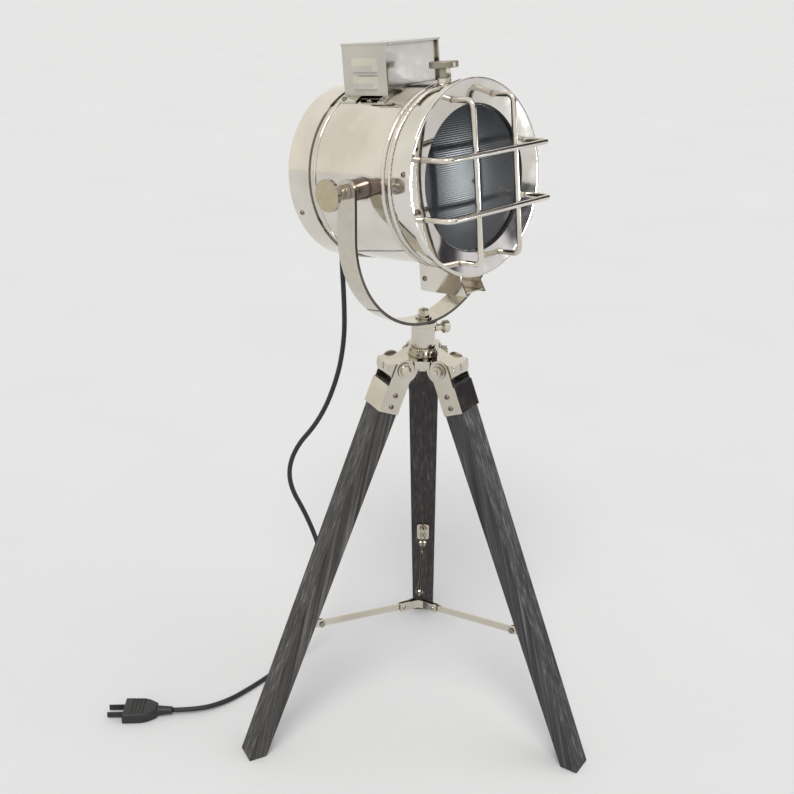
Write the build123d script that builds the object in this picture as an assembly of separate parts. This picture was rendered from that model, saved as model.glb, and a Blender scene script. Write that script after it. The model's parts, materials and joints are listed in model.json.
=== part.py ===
from build123d import *

import os
from math import acos, asin, cos, degrees, hypot, pi, radians, sin, sqrt, tan

# Tabletop searchlight lamp on a folding wooden tripod.
# Millimetres, +Z up. At rest the lamp faces -Y and is tipped up a little.
# Everything is built about the stand's upright axis and moved to the row origin at the end.

# Clearances
SEAT = 0.1  # between nested pieces of one body
RUN = 0.08  # radial, between a pin or shaft and its hole
GAP = 0.3  # between faces that move past each other
PAST = 1.0  # how far a cutting form runs past what it cuts

# Drum. Head pieces are measured forward along the beam from the tilt axis, and out from the beam.
DRUM_RADIUS = 83.0
DRUM_WALL = 2.0
DRUM_REAR = -99.0
DRUM_FRONT = 59.0
TILT_REST = 6.2
SHEET = 1.5
BEADS_BEHIND = (33.5, 25.5)  # behind the drum's front edge
REAR_BEAD_AHEAD = 35.0  # ahead of the drum's rear edge
BEAD_RADIUS = 2.4
REAR_BEAD_RADIUS = 1.8
BEAD_SINK = 0.5

# Rear cap
CAP_LIP = 28.0
CAP_DISH = 3.0
CAP_SLOPE = 25.0
CAP_ROLL = 2.8
CAP_SCREW_AHEAD = 9.0
CAP_SCREW_TURNS = (200, 80, 320)

# Front bezel
BEZEL_AHEAD = 5.5
BEZEL_LIP = 7.0
BEZEL_SKIRT = 20.0
BEZEL_FLARE = 3.0
BEZEL_RIM_WIDTH = 3.0
BEZEL_RIM_DEPTH = 5.0
BEZEL_DISH = 3.0
BEZEL_RING = 2.0
BEZEL_ROLL = 1.4
BEZEL_STEP = 15.7  # from the drum's outside in to the lens hole
BEZEL_SCREW_BEHIND = 7.5
BEZEL_SCREW_TURNS = (170, 50, 290)

# Lens, reflector, lamp holder and bulb
GASKET = 1.4
GASKET_LIP = 1.0
LENS_LAP = 5.7
LENS_EDGE = 3.0
LENS_DOME_INSET = 1.8
LENS_DOME = 4.6
LENS_HOLLOW = 3.5
RETAINER = 1.4
RETAINER_LAP = 4.5
REFLECTOR_FLANGE = 9.9
REFLECTOR_DEPTH = 46.0
REFLECTOR_WALL = 1.4
REFLECTOR_GAP = 3.0
SOCKET_BEHIND = 97.0  # the socket's rear face, behind the drum's front edge
SOCKET_LENGTH = 46.0
SOCKET_BASE = 28.0
SOCKET_BASE_RADIUS = 20.0
SOCKET_RADIUS = 18.0
SOCKET_BORE_DEPTH = 22.0
BULB_BASE_RADIUS = 13.2
BULB_NECK = 2.0
BULB_GLOBE_RADIUS = 22.0
BULB_GLOBE_AHEAD = 21.0
BRACE_WIDTH = 22.0
BRACE = 2.0
BRACE_FOOT = 14.0

# Wire guard
ROD_RADIUS = 2.6
ROD_BEND = 7.0
UPRIGHT_ROD_SIDE = 27.4
UPRIGHT_ROD_OUT = 10.3  # from the lens hole's edge out to the rod's end
UPRIGHT_ROD_STAND = 22.5
CROSS_ROD_HEIGHT = 25.8
CROSS_ROD_OUT = 7.8
WELD = 0.3

# Vent box
BOX_AHEAD = 35.0
BOX_LENGTH = 57.0
BOX_HALF_WIDTH = 36.0
BOX_HEIGHT = 38.6
LID = 1.9
LID_OVERHANG = 0.8
LID_LIP = 5.0
FRONT_RECESS = 3.0
FLANGE_WIDTH = 8.5
FLANGE_END = 2.5
FLANGE_SCREWS_IN = (4.0, 3.0)  # from the box's rear and front
VENT_HOLE = (34.0, 40.0)
LOUVRE_ENDS = (12.0, 11.0)  # from the box's rear and front
LOUVRES_BELOW_TOP = (39.1, 23.6)
LOUVRE_HEIGHT = 12.0
LOUVRE_DEPTH = 3.6
LOUVRE_SLOPE = 0.55
LOUVRE_SHEET = 1.0
NOTCH_ENDS = (22.5, 6.0)  # from the box's rear and front
NOTCH_HEIGHT = 1.7

# Knob on top, tray under the drum
THREAD_RADIUS = 3.0
TOP_KNOB_BEHIND = 28.6
TOP_KNOB_BASE = 6.0
TOP_KNOB_BASE_RADIUS = 6.5
TOP_KNOB_STEM = 8.9
TOP_KNOB_STEM_ACROSS = 10.6
TOP_KNOB_DISC = 5.5
TOP_KNOB_DISC_RADIUS = 13.4
TOP_KNOB_EASE = 0.5
TOP_KNOB_THREAD = 4.0
TRAY_REAR = -3.5
TRAY_FRONT_BEHIND = 10.5
TRAY_HALF_WIDTH = 13.5
TRAY_DEPTH = 26.0
TRAY_ROOF_DEPTH = 4.6
TRAY_FLAP = 7.0
TRAY_FLAP_HEIGHT = 14.0
TRAY_SCREW_IN = (6.0, 12.0)  # from the tray's rear and bottom

# Trunnions, yoke and tilt knobs
TRUNNION_RADIUS = 10.0
TRUNNION_SINK = 4.0
YOKE_STAND_OFF = 21.0
YOKE_STRAIGHT = 41.0
YOKE_SHEET = 3.0
YOKE_WIDTH = 22.5
TILT_KNOB_LENGTH = 22.5
TILT_KNOB_RADIUS = 14.6
TILT_KNOB_RIM = 3.5
TILT_KNOB_NECK_RADIUS = 5.6
TILT_KNOB_FLARE = (1.5, 2.0)  # how the flare's middle sits off the straight line, along and out
TILT_KNOB_COLLAR_RADIUS = 7.0
TILT_KNOB_COLLAR = 5.0
STUD_LENGTH = 15.0

# Small domed screws
SCREW_HEAD_RADIUS = 2.6
SCREW_HEAD = 1.7
SCREW_SHANK_RADIUS = 1.4
SCREW_SHANK = 3.5

# Cord gland
GLAND_HEIGHT = -30.0
GLAND_DIP = 60.0
GLAND_LENGTH = 16.0
GLAND_SINK = 13.0
GLAND_RADIUS = 6.5
GLAND_TIP_RADIUS = 4.0
GLAND_FLANGE_RADIUS = 10.0
GLAND_FLANGE = 2.5

# Swivel between yoke and stand
STEM_HEIGHT = 35.0
STEM_RADIUS = 11.8
STEM_FLANGE_RADIUS = 13.2
STEM_FLANGE = 4.0
STEM_CAP = 10.0
POST_RADIUS = 8.5
YOKE_BOLT_RADIUS = 4.0
YOKE_BOLT_LENGTH = 5.0
YOKE_BOLT_ACROSS = 10.0
YOKE_BOLT_HEAD = 6.5
YOKE_BOLT_DOME = 2.0
WASHER_RADIUS = 8.0
WASHER = 1.8
COLLAR_RADIUS = 14.6
COLLAR_HEIGHT = 9.0
COLLAR_SCREW_TURNS = (-104.0, -147.0)
COLLAR_SCREW_RADIUS = 2.0
COLLAR_SCREW_HEAD_RADIUS = 4.0
COLLAR_SCREW_HEAD = 3.6
COLLAR_SCREW_EASE = 0.8
PAN_SCREW_TURN = -24.0
PAN_SCREW_DROP = 9.0
PAN_SCREW_RADIUS = 2.5
PAN_SCREW_NECK_RADIUS = 3.6
PAN_SCREW_NECK = 9.0
PAN_SCREW_HEAD_RADIUS = 6.6
PAN_SCREW_HEAD = 6.0
PAN_SCREW_FLARE = 2.5
PAN_SCREW_EASE = 1.0

# Crown
CROWN_ABOVE_PIVOT = 7.2
CROWN_THICKNESS = 8.0
CROWN_INRADIUS = 23.5
CROWN_LOBE_REACH = 45.0
CROWN_CORNER = 4.0
KNUCKLE_RADIUS = 15.5
SWIVEL_SEAT_DEPTH = 12.0
SWIVEL_SEAT_FLOOR = 2.0
SWIVEL_BOSS_RADIUS = 13.0

# Tripod
PIVOT_HEIGHT = 407.8
PIVOT_RADIUS = 28.6
LEG_SPLAY = 21.95
BACK_LEG_TURN = 41.0
LEG_NAMES = ("back", "left", "right")
WOOD_START = 18.0
WOOD_TOP = (20.4, 30.4)  # radial depth, width
WOOD_FOOT = (17.5, 25.0)
WOOD_EASE = 0.6
BRACKET_SHEET = 1.5
BRACKET_LENGTH = 46.0
BRACKET_BACK_START = 19.0
LEG_BOLT_RADIUS = 3.0
LEG_BOLT_HEAD_RADIUS = 5.6
LEG_BOLT_HEAD = 4.2
LEG_WASHER_RADIUS = 7.6
LEG_WASHER = 1.4
LEG_NUT_ACROSS = 10.0
LEG_NUT = 5.0
CHEEK_SCREWS = (27.0, 39.0)

# Spreader
CLEVIS_AT = 285.0
CLEVIS_STAND_OFF = 13.0
CLEVIS_PLATE = (14.0, 27.0, 1.5)
CLEVIS_PLATE_ABOVE = 19.0
CLEVIS_CORNER = 3.0
CLEVIS_EAR = 1.5
CLEVIS_EAR_RADIUS = 4.2
CLEVIS_PIN_RADIUS = 1.5
CLEVIS_PIN_HEAD_RADIUS = 2.8
CLEVIS_PIN_HEAD = 1.3
CLEVIS_SCREW_ABOVE = 15.0
ARM_THICKNESS = 2.0
ARM_HEIGHT = 7.0
ARM_GAP = 0.4
HUB_PIVOT_RADIUS = 19.0
ARM_FALL = 7.1
ARM_TAIL_EASE = 1.2
HUB_LOBE_REACH = 23.5
HUB_HEIGHT = 9.0
HUB_SHEET = 1.6
HUB_WEB_RADIUS = 10.0
HUB_CORE_RADIUS = 2.8
HUB_RIVET_RADIUS = 2.1
HUB_RIVET_HEAD = 1.1
HUB_RIVET_SHANK_RADIUS = 1.1
ARM_TAIL = 2.4
FOLD_ANGLE = 13.0

# Cord
CORD_RADIUS = 2.65
PLUG_HALF_THICK = 6.0

# The cord's route. It hangs from the gland, swings out behind the left leg, reaches the
# ground and runs out to the plug. The hanging points are measured from the gland's tip,
# and the others from the foot of the stand's upright axis.
CORD_FIRST_RUN = 21.0
CORD_HANG_END = (1.0, 11.8, -50.3)
CORD_DROP_START = (5.2, 12.8, -98.3)
CORD_DROP = [
    (7.2, 121.0, 398.0),
    (4.0, 129.0, 351.0),
    (-8.0, 145.0, 300.0),
    (-29.0, 168.0, 262.0),
    (-33.0, 174.0, 222.0),
    (-18.0, 158.0, 178.0),
    (-8.5, 145.0, 130.0),
    (-12.0, 143.0, 85.0),
    (-25.0, 145.5, 42.0),
    (-50.0, 148.5, 11.0),
    (-81.0, 150.0, CORD_RADIUS),
    (-117.0, 147.0, CORD_RADIUS),
    (-153.0, 146.0, CORD_RADIUS + 1),
    (-185.0, 154.5, PLUG_HALF_THICK),
    (-205.0, 174.0, PLUG_HALF_THICK),
]

# Plug, from (distance past the cord's end, half width)
PLUG_NECK = [(0.0, 3.9), (16.0, 5.4)]
PLUG_BODY = [(16.0, 7.0), (24.0, 12.5), (31.0, 15.0), (52.0, 15.5), (52.0, 0.0), (16.0, 0.0)]
PLUG_EDGE = 2.4
PLUG_GROOVES = (30.0, 34.0, 38.0, 42.0)
PLUG_GROOVE = (1.6, 0.9)  # width, depth
PLUG_BLADE = (17.0, 1.5, 6.4)  # length, thickness, width
PLUG_BLADE_SPACING = 12.7

# Worked out from the sizes above
DRUM_BORE = DRUM_RADIUS - DRUM_WALL
BEZEL_RADIUS = DRUM_RADIUS + BEZEL_LIP
BEZEL_OUTSIDE = DRUM_RADIUS + SEAT + SHEET
BEZEL_FRONT = DRUM_FRONT + BEZEL_AHEAD
BEZEL_BACK = BEZEL_FRONT - BEZEL_DISH - BEZEL_RING
LENS_HOLE_RADIUS = DRUM_RADIUS - BEZEL_STEP
LENS_RADIUS = LENS_HOLE_RADIUS + LENS_LAP
LENS_DOME_RADIUS = LENS_HOLE_RADIUS - LENS_DOME_INSET
LENS_FRONT = BEZEL_BACK - GASKET - 2 * SEAT
LENS_BACK = LENS_FRONT - LENS_EDGE
RETAINER_BACK = LENS_BACK - SEAT - RETAINER
REFLECTOR_FRONT = RETAINER_BACK - SEAT
REFLECTOR_RADIUS = DRUM_BORE - SEAT - REFLECTOR_FLANGE
REFLECTOR_HOLE_RADIUS = SOCKET_RADIUS + REFLECTOR_GAP
SOCKET_REAR = DRUM_FRONT - SOCKET_BEHIND
SOCKET_FRONT = SOCKET_REAR + SOCKET_LENGTH
CAP_REAR = DRUM_REAR - SEAT - SHEET
CAP_FLAT_RADIUS = DRUM_RADIUS - CAP_SLOPE
BOX_REAR = DRUM_REAR + BOX_AHEAD
BOX_FRONT = BOX_REAR + BOX_LENGTH
BOX_TOP = DRUM_RADIUS + BOX_HEIGHT
TRAY_FRONT = DRUM_FRONT - TRAY_FRONT_BEHIND
TRAY_BOTTOM = -DRUM_RADIUS - TRAY_DEPTH
TRAY_ROOF = -DRUM_RADIUS - TRAY_ROOF_DEPTH
CROSS_ROD_STAND = UPRIGHT_ROD_STAND + 2 * ROD_RADIUS - WELD
CROWN_TOP = PIVOT_HEIGHT + CROWN_ABOVE_PIVOT
YOKE_UNDERSIDE = CROWN_TOP + STEM_HEIGHT
YOKE_TOPSIDE = YOKE_UNDERSIDE + YOKE_SHEET
YOKE_OUTER = DRUM_RADIUS + YOKE_STAND_OFF
YOKE_INNER = YOKE_OUTER - YOKE_SHEET
YOKE_BEND_HEIGHT = YOKE_UNDERSIDE + YOKE_OUTER
TILT_HEIGHT = YOKE_BEND_HEIGHT + YOKE_STRAIGHT
PAN_SCREW_HEIGHT = YOKE_UNDERSIDE - PAN_SCREW_DROP
CHEEK_INNER = WOOD_TOP[1] / 2
CHEEK_OUTER = CHEEK_INNER + BRACKET_SHEET
BRACKET_HALF_DEPTH = WOOD_TOP[0] / 2
LEG_LENGTH = PIVOT_HEIGHT / cos(radians(LEG_SPLAY))
SLOT = ARM_THICKNESS / 2 + ARM_GAP

HEAD = Pos(0, 0, TILT_HEIGHT) * Rot(-TILT_REST, 0, 0)
LEG_TURNS = [BACK_LEG_TURN + 120 * i for i in range(3)]

nodes = {}


def keep(body, node, shape):
    """File a finished piece under its body and its node's name."""
    nodes[node] = (body, shape)


def lathe(*points):
    """A turned piece about the beam axis, from (forward, radius) points."""
    outline = Polyline([(radius, -forward) for forward, radius in points], close=True)
    return revolve(make_face(outline), Axis.Y)


def lathe_lines(*lines):
    """A turned piece about the beam axis, from lines and arcs in (radius, -forward)."""
    return revolve(make_face(Wire(list(lines))), Axis.Y)


def tube(outer, inner, rear, front):
    return lathe((rear, inner), (rear, outer), (front, outer), (front, inner))


def block(rear, front, left, right, bottom, top):
    """A box in head coordinates: forward range, sideways range, height range."""
    size = (right - left, front - rear, top - bottom)
    return Pos((left + right) / 2, -(rear + front) / 2, (bottom + top) / 2) * Box(*size)


def rod(radius, start, end):
    """A straight round bar between two points."""
    way = Vector(*end) - Vector(*start)
    plane = Plane(origin=start, z_dir=way)
    return extrude(plane * Circle(radius), way.length)


def hex_bar(across, start, end):
    way = Vector(*end) - Vector(*start)
    plane = Plane(origin=start, z_dir=way)
    return extrude(plane * RegularPolygon(across / 2, 6, major_radius=False), way.length)


def spun(start, way, *points):
    """A turned piece on any axis, from (along, radius) points."""
    outline = Polyline([(radius, along) for along, radius in points], close=True)
    turned = revolve(Plane.XZ * make_face(outline), Axis.Z)
    return Plane(origin=start, z_dir=Vector(*way)).location * turned


def domed_screw(seat, way):
    """A small domed screw whose head sits on seat and faces along way."""
    return spun(
        seat, way,
        (-SCREW_SHANK, 0), (-SCREW_SHANK, SCREW_SHANK_RADIUS), (0, SCREW_SHANK_RADIUS),
        (0, SCREW_HEAD_RADIUS), (SCREW_HEAD * 0.5, SCREW_HEAD_RADIUS * 0.92),
        (SCREW_HEAD, SCREW_HEAD_RADIUS * 0.5), (SCREW_HEAD, 0),
    )


def screw_hole(seat, way):
    """The hole that a domed screw's shank fills."""
    start = Vector(*seat) - Vector(*way) * SCREW_SHANK
    end = Vector(*seat) + Vector(*way) * SCREW_HEAD
    return rod(SCREW_SHANK_RADIUS, start, end)


def bead_ring(forward, radius):
    ring = Torus(DRUM_RADIUS - BEAD_SINK, radius)
    return Pos(0, -forward, 0) * Rot(90, 0, 0) * ring


def drum_outside():
    """The drum's outer form as one solid, for trimming what sits on it."""
    body = tube(DRUM_RADIUS, 0, DRUM_REAR, DRUM_FRONT)
    for behind in BEADS_BEHIND:
        body += bead_ring(DRUM_FRONT - behind, BEAD_RADIUS)
    return body + bead_ring(DRUM_REAR + REAR_BEAD_AHEAD, REAR_BEAD_RADIUS)


def around(forward, radius, turns):
    """Seats and outward directions for screws round the drum."""
    seats = []
    for turn in turns:
        way = (cos(radians(turn)), 0, sin(radians(turn)))
        seats.append(((radius * way[0], -forward, radius * way[2]), way))
    return seats


# Where the small domed screws of the head sit
BEZEL_SCREWS = around(BEZEL_BACK - BEZEL_SCREW_BEHIND, BEZEL_OUTSIDE, BEZEL_SCREW_TURNS)
CAP_SCREWS = around(DRUM_REAR + CAP_SCREW_AHEAD, BEZEL_OUTSIDE, CAP_SCREW_TURNS)
FLANGE_TURN = degrees(acos((BOX_HALF_WIDTH + FLANGE_WIDTH / 2) / DRUM_RADIUS))
FLANGE_TURNS = (FLANGE_TURN, 180 - FLANGE_TURN)
FLANGE_SCREWS = around(BOX_REAR + FLANGE_SCREWS_IN[0], DRUM_RADIUS + SHEET, FLANGE_TURNS)
FLANGE_SCREWS += around(BOX_FRONT - FLANGE_SCREWS_IN[1], DRUM_RADIUS + SHEET, FLANGE_TURNS)
NOTCH_MIDDLE = (BOX_REAR + NOTCH_ENDS[0] + BOX_FRONT - NOTCH_ENDS[1]) / 2
NOTCH_SCREWS = around(NOTCH_MIDDLE, DRUM_RADIUS, FLANGE_TURNS)
TRAY_SCREW_SEAT = (TRAY_HALF_WIDTH, -TRAY_REAR - TRAY_SCREW_IN[0], TRAY_BOTTOM + TRAY_SCREW_IN[1])
TRAY_SCREWS = [((side * TRAY_SCREW_SEAT[0], *TRAY_SCREW_SEAT[1:]), (side, 0, 0)) for side in (-1, 1)]


def make_drum(outside):
    drum = outside - tube(DRUM_BORE, 0, DRUM_REAR - PAST, DRUM_FRONT + PAST)
    middle = (BOX_REAR + BOX_FRONT) / 2
    along, across = VENT_HOLE
    drum -= block(middle - along / 2, middle + along / 2, -across / 2, across / 2, 0, BOX_TOP)
    for seat, way in BEZEL_SCREWS + CAP_SCREWS + FLANGE_SCREWS + NOTCH_SCREWS:
        drum -= screw_hole(seat, way)
    keep("head", "drum_shell", drum)


def make_rear_cap():
    lip = DRUM_RADIUS + SEAT
    floor = CAP_REAR - CAP_DISH
    cap = lathe(
        (DRUM_REAR + CAP_LIP, lip), (DRUM_REAR + CAP_LIP, lip + SHEET), (CAP_REAR, lip + SHEET),
        (floor, CAP_FLAT_RADIUS), (floor, 0), (floor + SHEET, 0),
        (floor + SHEET, CAP_FLAT_RADIUS), (CAP_REAR + SHEET, lip),
    )
    circles = cap.edges().filter_by(GeomType.CIRCLE)
    corner = circles.filter_by(lambda e: e.radius > lip and e.center().Y > (lip - DRUM_REAR) / 2)
    cap = fillet(corner, CAP_ROLL)
    for seat, way in CAP_SCREWS:
        cap -= screw_hole(seat, way)
    keep("head", "rear_cap", cap)


def make_bezel():
    inside = DRUM_RADIUS + SEAT
    ring = lathe(
        (BEZEL_BACK - BEZEL_SKIRT, inside), (BEZEL_BACK - BEZEL_SKIRT, BEZEL_OUTSIDE),
        (BEZEL_FRONT - BEZEL_RIM_DEPTH - BEZEL_FLARE, BEZEL_OUTSIDE),
        (BEZEL_FRONT - BEZEL_RIM_DEPTH, BEZEL_RADIUS),
        (BEZEL_FRONT, BEZEL_RADIUS), (BEZEL_FRONT, BEZEL_RADIUS - BEZEL_RIM_WIDTH),
        (BEZEL_FRONT - BEZEL_DISH, LENS_HOLE_RADIUS), (BEZEL_BACK, LENS_HOLE_RADIUS), (BEZEL_BACK, inside),
    )
    rim = ring.edges().filter_by(GeomType.CIRCLE).group_by(Axis.Y)[0]
    ring = fillet(rim, BEZEL_ROLL)
    for seat, way in BEZEL_SCREWS:
        ring -= screw_hole(seat, way)
    keep("head", "front_bezel", ring)


def dome_height(base, rise, radius):
    """Height of a shallow dome of the given base radius and rise, at a radius from its axis."""
    sphere = (base * base + rise * rise) / (2 * rise)
    return sqrt(sphere * sphere - radius * radius) - (sphere - rise)


def make_lens():
    gasket_bore = LENS_HOLE_RADIUS - GASKET_LIP
    keep("head", "lens_gasket", tube(LENS_RADIUS, gasket_bore, LENS_FRONT + SEAT, BEZEL_BACK - SEAT))
    half = LENS_DOME_RADIUS / 2
    front_half = LENS_FRONT + dome_height(LENS_DOME_RADIUS, LENS_DOME, half)
    back_half = LENS_BACK + dome_height(LENS_DOME_RADIUS, LENS_HOLLOW, half)
    lens = lathe_lines(
        Line((0, -LENS_BACK - LENS_HOLLOW), (0, -LENS_FRONT - LENS_DOME)),
        ThreePointArc((0, -LENS_FRONT - LENS_DOME), (half, -front_half), (LENS_DOME_RADIUS, -LENS_FRONT)),
        Line((LENS_DOME_RADIUS, -LENS_FRONT), (LENS_RADIUS, -LENS_FRONT)),
        Line((LENS_RADIUS, -LENS_FRONT), (LENS_RADIUS, -LENS_BACK)),
        Line((LENS_RADIUS, -LENS_BACK), (LENS_DOME_RADIUS, -LENS_BACK)),
        ThreePointArc((LENS_DOME_RADIUS, -LENS_BACK), (half, -back_half), (0, -LENS_BACK - LENS_HOLLOW)),
    )
    keep("head", "lens", lens)
    retainer_bore = LENS_RADIUS - RETAINER_LAP
    retainer = tube(DRUM_BORE - SEAT, retainer_bore, RETAINER_BACK, RETAINER_BACK + RETAINER)
    keep("head", "lens_retainer", retainer)


def make_reflector():
    rim = REFLECTOR_FRONT
    base = rim - REFLECTOR_DEPTH
    spread = (REFLECTOR_RADIUS**2 - REFLECTOR_HOLE_RADIUS**2) / (REFLECTOR_DEPTH - REFLECTOR_WALL)
    middle = (REFLECTOR_RADIUS + REFLECTOR_HOLE_RADIUS) / 2
    bend = base + (middle**2 - REFLECTOR_HOLE_RADIUS**2) / spread
    back = rim - REFLECTOR_WALL
    flange = DRUM_BORE - SEAT
    bowl = lathe_lines(
        ThreePointArc((REFLECTOR_HOLE_RADIUS, -base), (middle, -bend), (REFLECTOR_RADIUS, -back)),
        Line((REFLECTOR_RADIUS, -back), (flange, -back)),
        Line((flange, -back), (flange, -rim)),
        Line((flange, -rim), (REFLECTOR_RADIUS, -rim)),
        ThreePointArc((REFLECTOR_RADIUS, -rim), (middle, -bend - REFLECTOR_WALL),
                      (REFLECTOR_HOLE_RADIUS, -base - REFLECTOR_WALL)),
        Line((REFLECTOR_HOLE_RADIUS, -base - REFLECTOR_WALL), (REFLECTOR_HOLE_RADIUS, -base)),
    )
    keep("head", "reflector", bowl)


def make_lamp_holder():
    bore = BULB_BASE_RADIUS + SEAT
    step = SOCKET_REAR + SOCKET_BASE
    bottom = SOCKET_FRONT - SOCKET_BORE_DEPTH
    keep("head", "lamp_socket", lathe(
        (SOCKET_REAR, 0), (SOCKET_REAR, SOCKET_BASE_RADIUS), (step, SOCKET_BASE_RADIUS),
        (step, SOCKET_RADIUS), (SOCKET_FRONT, SOCKET_RADIUS), (SOCKET_FRONT, bore),
        (bottom, bore), (bottom, 0),
    ))
    middle = SOCKET_FRONT + BULB_GLOBE_AHEAD
    neck = SOCKET_FRONT + BULB_NECK
    stem = lathe((bottom, 0), (bottom, BULB_BASE_RADIUS), (neck, BULB_BASE_RADIUS), (middle, 0))
    keep("head", "bulb", stem + Pos(0, -middle, 0) * Sphere(BULB_GLOBE_RADIUS))
    reach = DRUM_BORE - SEAT
    half = BRACE_WIDTH / 2
    bar = block(SOCKET_REAR - BRACE, SOCKET_REAR, -reach, reach, -half, half)
    bar &= tube(reach, 0, SOCKET_REAR - BRACE, SOCKET_REAR)
    feet = tube(reach, reach - BRACE, SOCKET_REAR - BRACE, SOCKET_REAR + BRACE_FOOT)
    feet &= block(SOCKET_REAR - BRACE, SOCKET_REAR + BRACE_FOOT, -reach, reach, -half, half)
    keep("head", "socket_brace", bar + feet)


def guard_rod(corners):
    """A round bar along four corners, with its two bends rounded."""
    path = FilletPolyline(corners, radius=ROD_BEND)
    start = Plane(origin=corners[0], z_dir=Vector(*corners[1]) - Vector(*corners[0]))
    return sweep(start * Circle(ROD_RADIUS), path)


def make_guard():
    """Two upright rods with two level ones welded across them, all standing on the bezel's ring."""
    bezel = nodes["front_bezel"][1]
    root = BEZEL_BACK + BEZEL_RING / 2
    front = BEZEL_FRONT + UPRIGHT_ROD_STAND
    reach = sqrt((LENS_HOLE_RADIUS + UPRIGHT_ROD_OUT) ** 2 - UPRIGHT_ROD_SIDE**2)
    for name, x in (("left", -UPRIGHT_ROD_SIDE), ("right", UPRIGHT_ROD_SIDE)):
        bar = guard_rod([(x, -root, reach), (x, -front, reach), (x, -front, -reach), (x, -root, -reach)])
        keep("head", f"guard_rod_{name}", (bar - bezel).solids().sort_by(SortBy.VOLUME)[-1])
    front = BEZEL_FRONT + CROSS_ROD_STAND
    reach = sqrt((LENS_HOLE_RADIUS + CROSS_ROD_OUT) ** 2 - CROSS_ROD_HEIGHT**2)
    for name, z in (("upper", CROSS_ROD_HEIGHT), ("lower", -CROSS_ROD_HEIGHT)):
        bar = guard_rod([(-reach, -root, z), (-reach, -front, z), (reach, -front, z), (reach, -root, z)])
        keep("head", f"guard_rod_{name}", (bar - bezel).solids().sort_by(SortBy.VOLUME)[-1])


def louvre(side, bottom, shrink, depth):
    """A tapered block that stands out of the vent box's side, for a pressed hood."""
    face = side * BOX_HALF_WIDTH
    rear = BOX_REAR + LOUVRE_ENDS[0] + shrink
    front = BOX_FRONT - LOUVRE_ENDS[1] - shrink
    top = bottom + LOUVRE_HEIGHT - shrink
    ridge = top - LOUVRE_HEIGHT * LOUVRE_SLOPE
    low = [(rear, bottom), (front, bottom), (front, top), (rear, top)]
    high = [(rear + depth, bottom), (front - depth, bottom), (front - depth, ridge), (rear + depth, ridge)]
    inner_end = Polyline([(face, -a, z) for a, z in low], close=True)
    outer_end = Polyline([(face + side * depth, -a, z) for a, z in high], close=True)
    return loft([make_face(inner_end), make_face(outer_end)], ruled=True)


def with_louvre(body, side, bottom):
    """The vent box with one hood pressed out of its side wall, open along its lower edge."""
    hollow = louvre(side, bottom, LOUVRE_SHEET, LOUVRE_DEPTH - LOUVRE_SHEET)
    hollow += Pos(0, 0, -LOUVRE_SHEET) * hollow
    inner, outer = sorted((side * BOX_HALF_WIDTH, side * (BOX_HALF_WIDTH - SHEET)))
    rear = BOX_REAR + LOUVRE_ENDS[0] + LOUVRE_SHEET
    front = BOX_FRONT - LOUVRE_ENDS[1] - LOUVRE_SHEET
    window = block(rear, front, inner, outer, bottom, bottom + LOUVRE_HEIGHT - LOUVRE_SHEET)
    return body + louvre(side, bottom, 0, LOUVRE_DEPTH) - hollow - window


def make_vent_box(outside):
    half = BOX_HALF_WIDTH
    rim = half + FLANGE_WIDTH
    face = BOX_FRONT - FRONT_RECESS
    above = BOX_TOP + PAST
    walls = block(BOX_REAR, BOX_FRONT, -half, half, 0, BOX_TOP)
    foot = tube(DRUM_RADIUS + SHEET, 0, BOX_REAR - FLANGE_END, BOX_FRONT + FLANGE_END)
    foot &= block(BOX_REAR - FLANGE_END, BOX_FRONT + FLANGE_END, -rim, rim, 0, BOX_TOP)
    inside = block(BOX_REAR + SHEET, face, SHEET - half, half - SHEET, 0, above)
    recess = block(face, BOX_FRONT + PAST, SHEET - half, half - SHEET, DRUM_RADIUS + SHEET, above)
    body = walls - recess + foot - inside - outside
    notch_top = sqrt(DRUM_RADIUS**2 - half**2) + NOTCH_HEIGHT
    for side in (-1, 1):
        inner, outer = sorted((side * (half - SHEET - PAST), side * (rim + PAST)))
        body -= block(BOX_REAR + NOTCH_ENDS[0], BOX_FRONT - NOTCH_ENDS[1], inner, outer, 0, notch_top)
        for below in LOUVRES_BELOW_TOP:
            body = with_louvre(body, side, BOX_TOP - below)
    for seat, way in FLANGE_SCREWS:
        body -= screw_hole(seat, way)
    keep("head", "vent_box_body", body)

    inside = half - SHEET
    panel = block(face - SHEET, face, -inside, inside, 0, BOX_TOP)
    panel -= outside
    keep("head", "vent_box_front", panel)

    out = half + LID_OVERHANG
    lid = block(BOX_REAR - LID_OVERHANG, BOX_FRONT + LID_OVERHANG, -out, out, BOX_TOP, BOX_TOP + LID)
    lid = fillet(lid.edges().filter_by(Axis.Z), LID_OVERHANG)
    lip = SHEET + SEAT
    for side in (-1, 1):
        inner, outer = sorted((side * (half - lip), side * (half - lip - SHEET)))
        lid += block(BOX_REAR + lip, face - lip, inner, outer, BOX_TOP - LID_LIP, BOX_TOP)
    keep("head", "vent_box_lid", lid)


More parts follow.
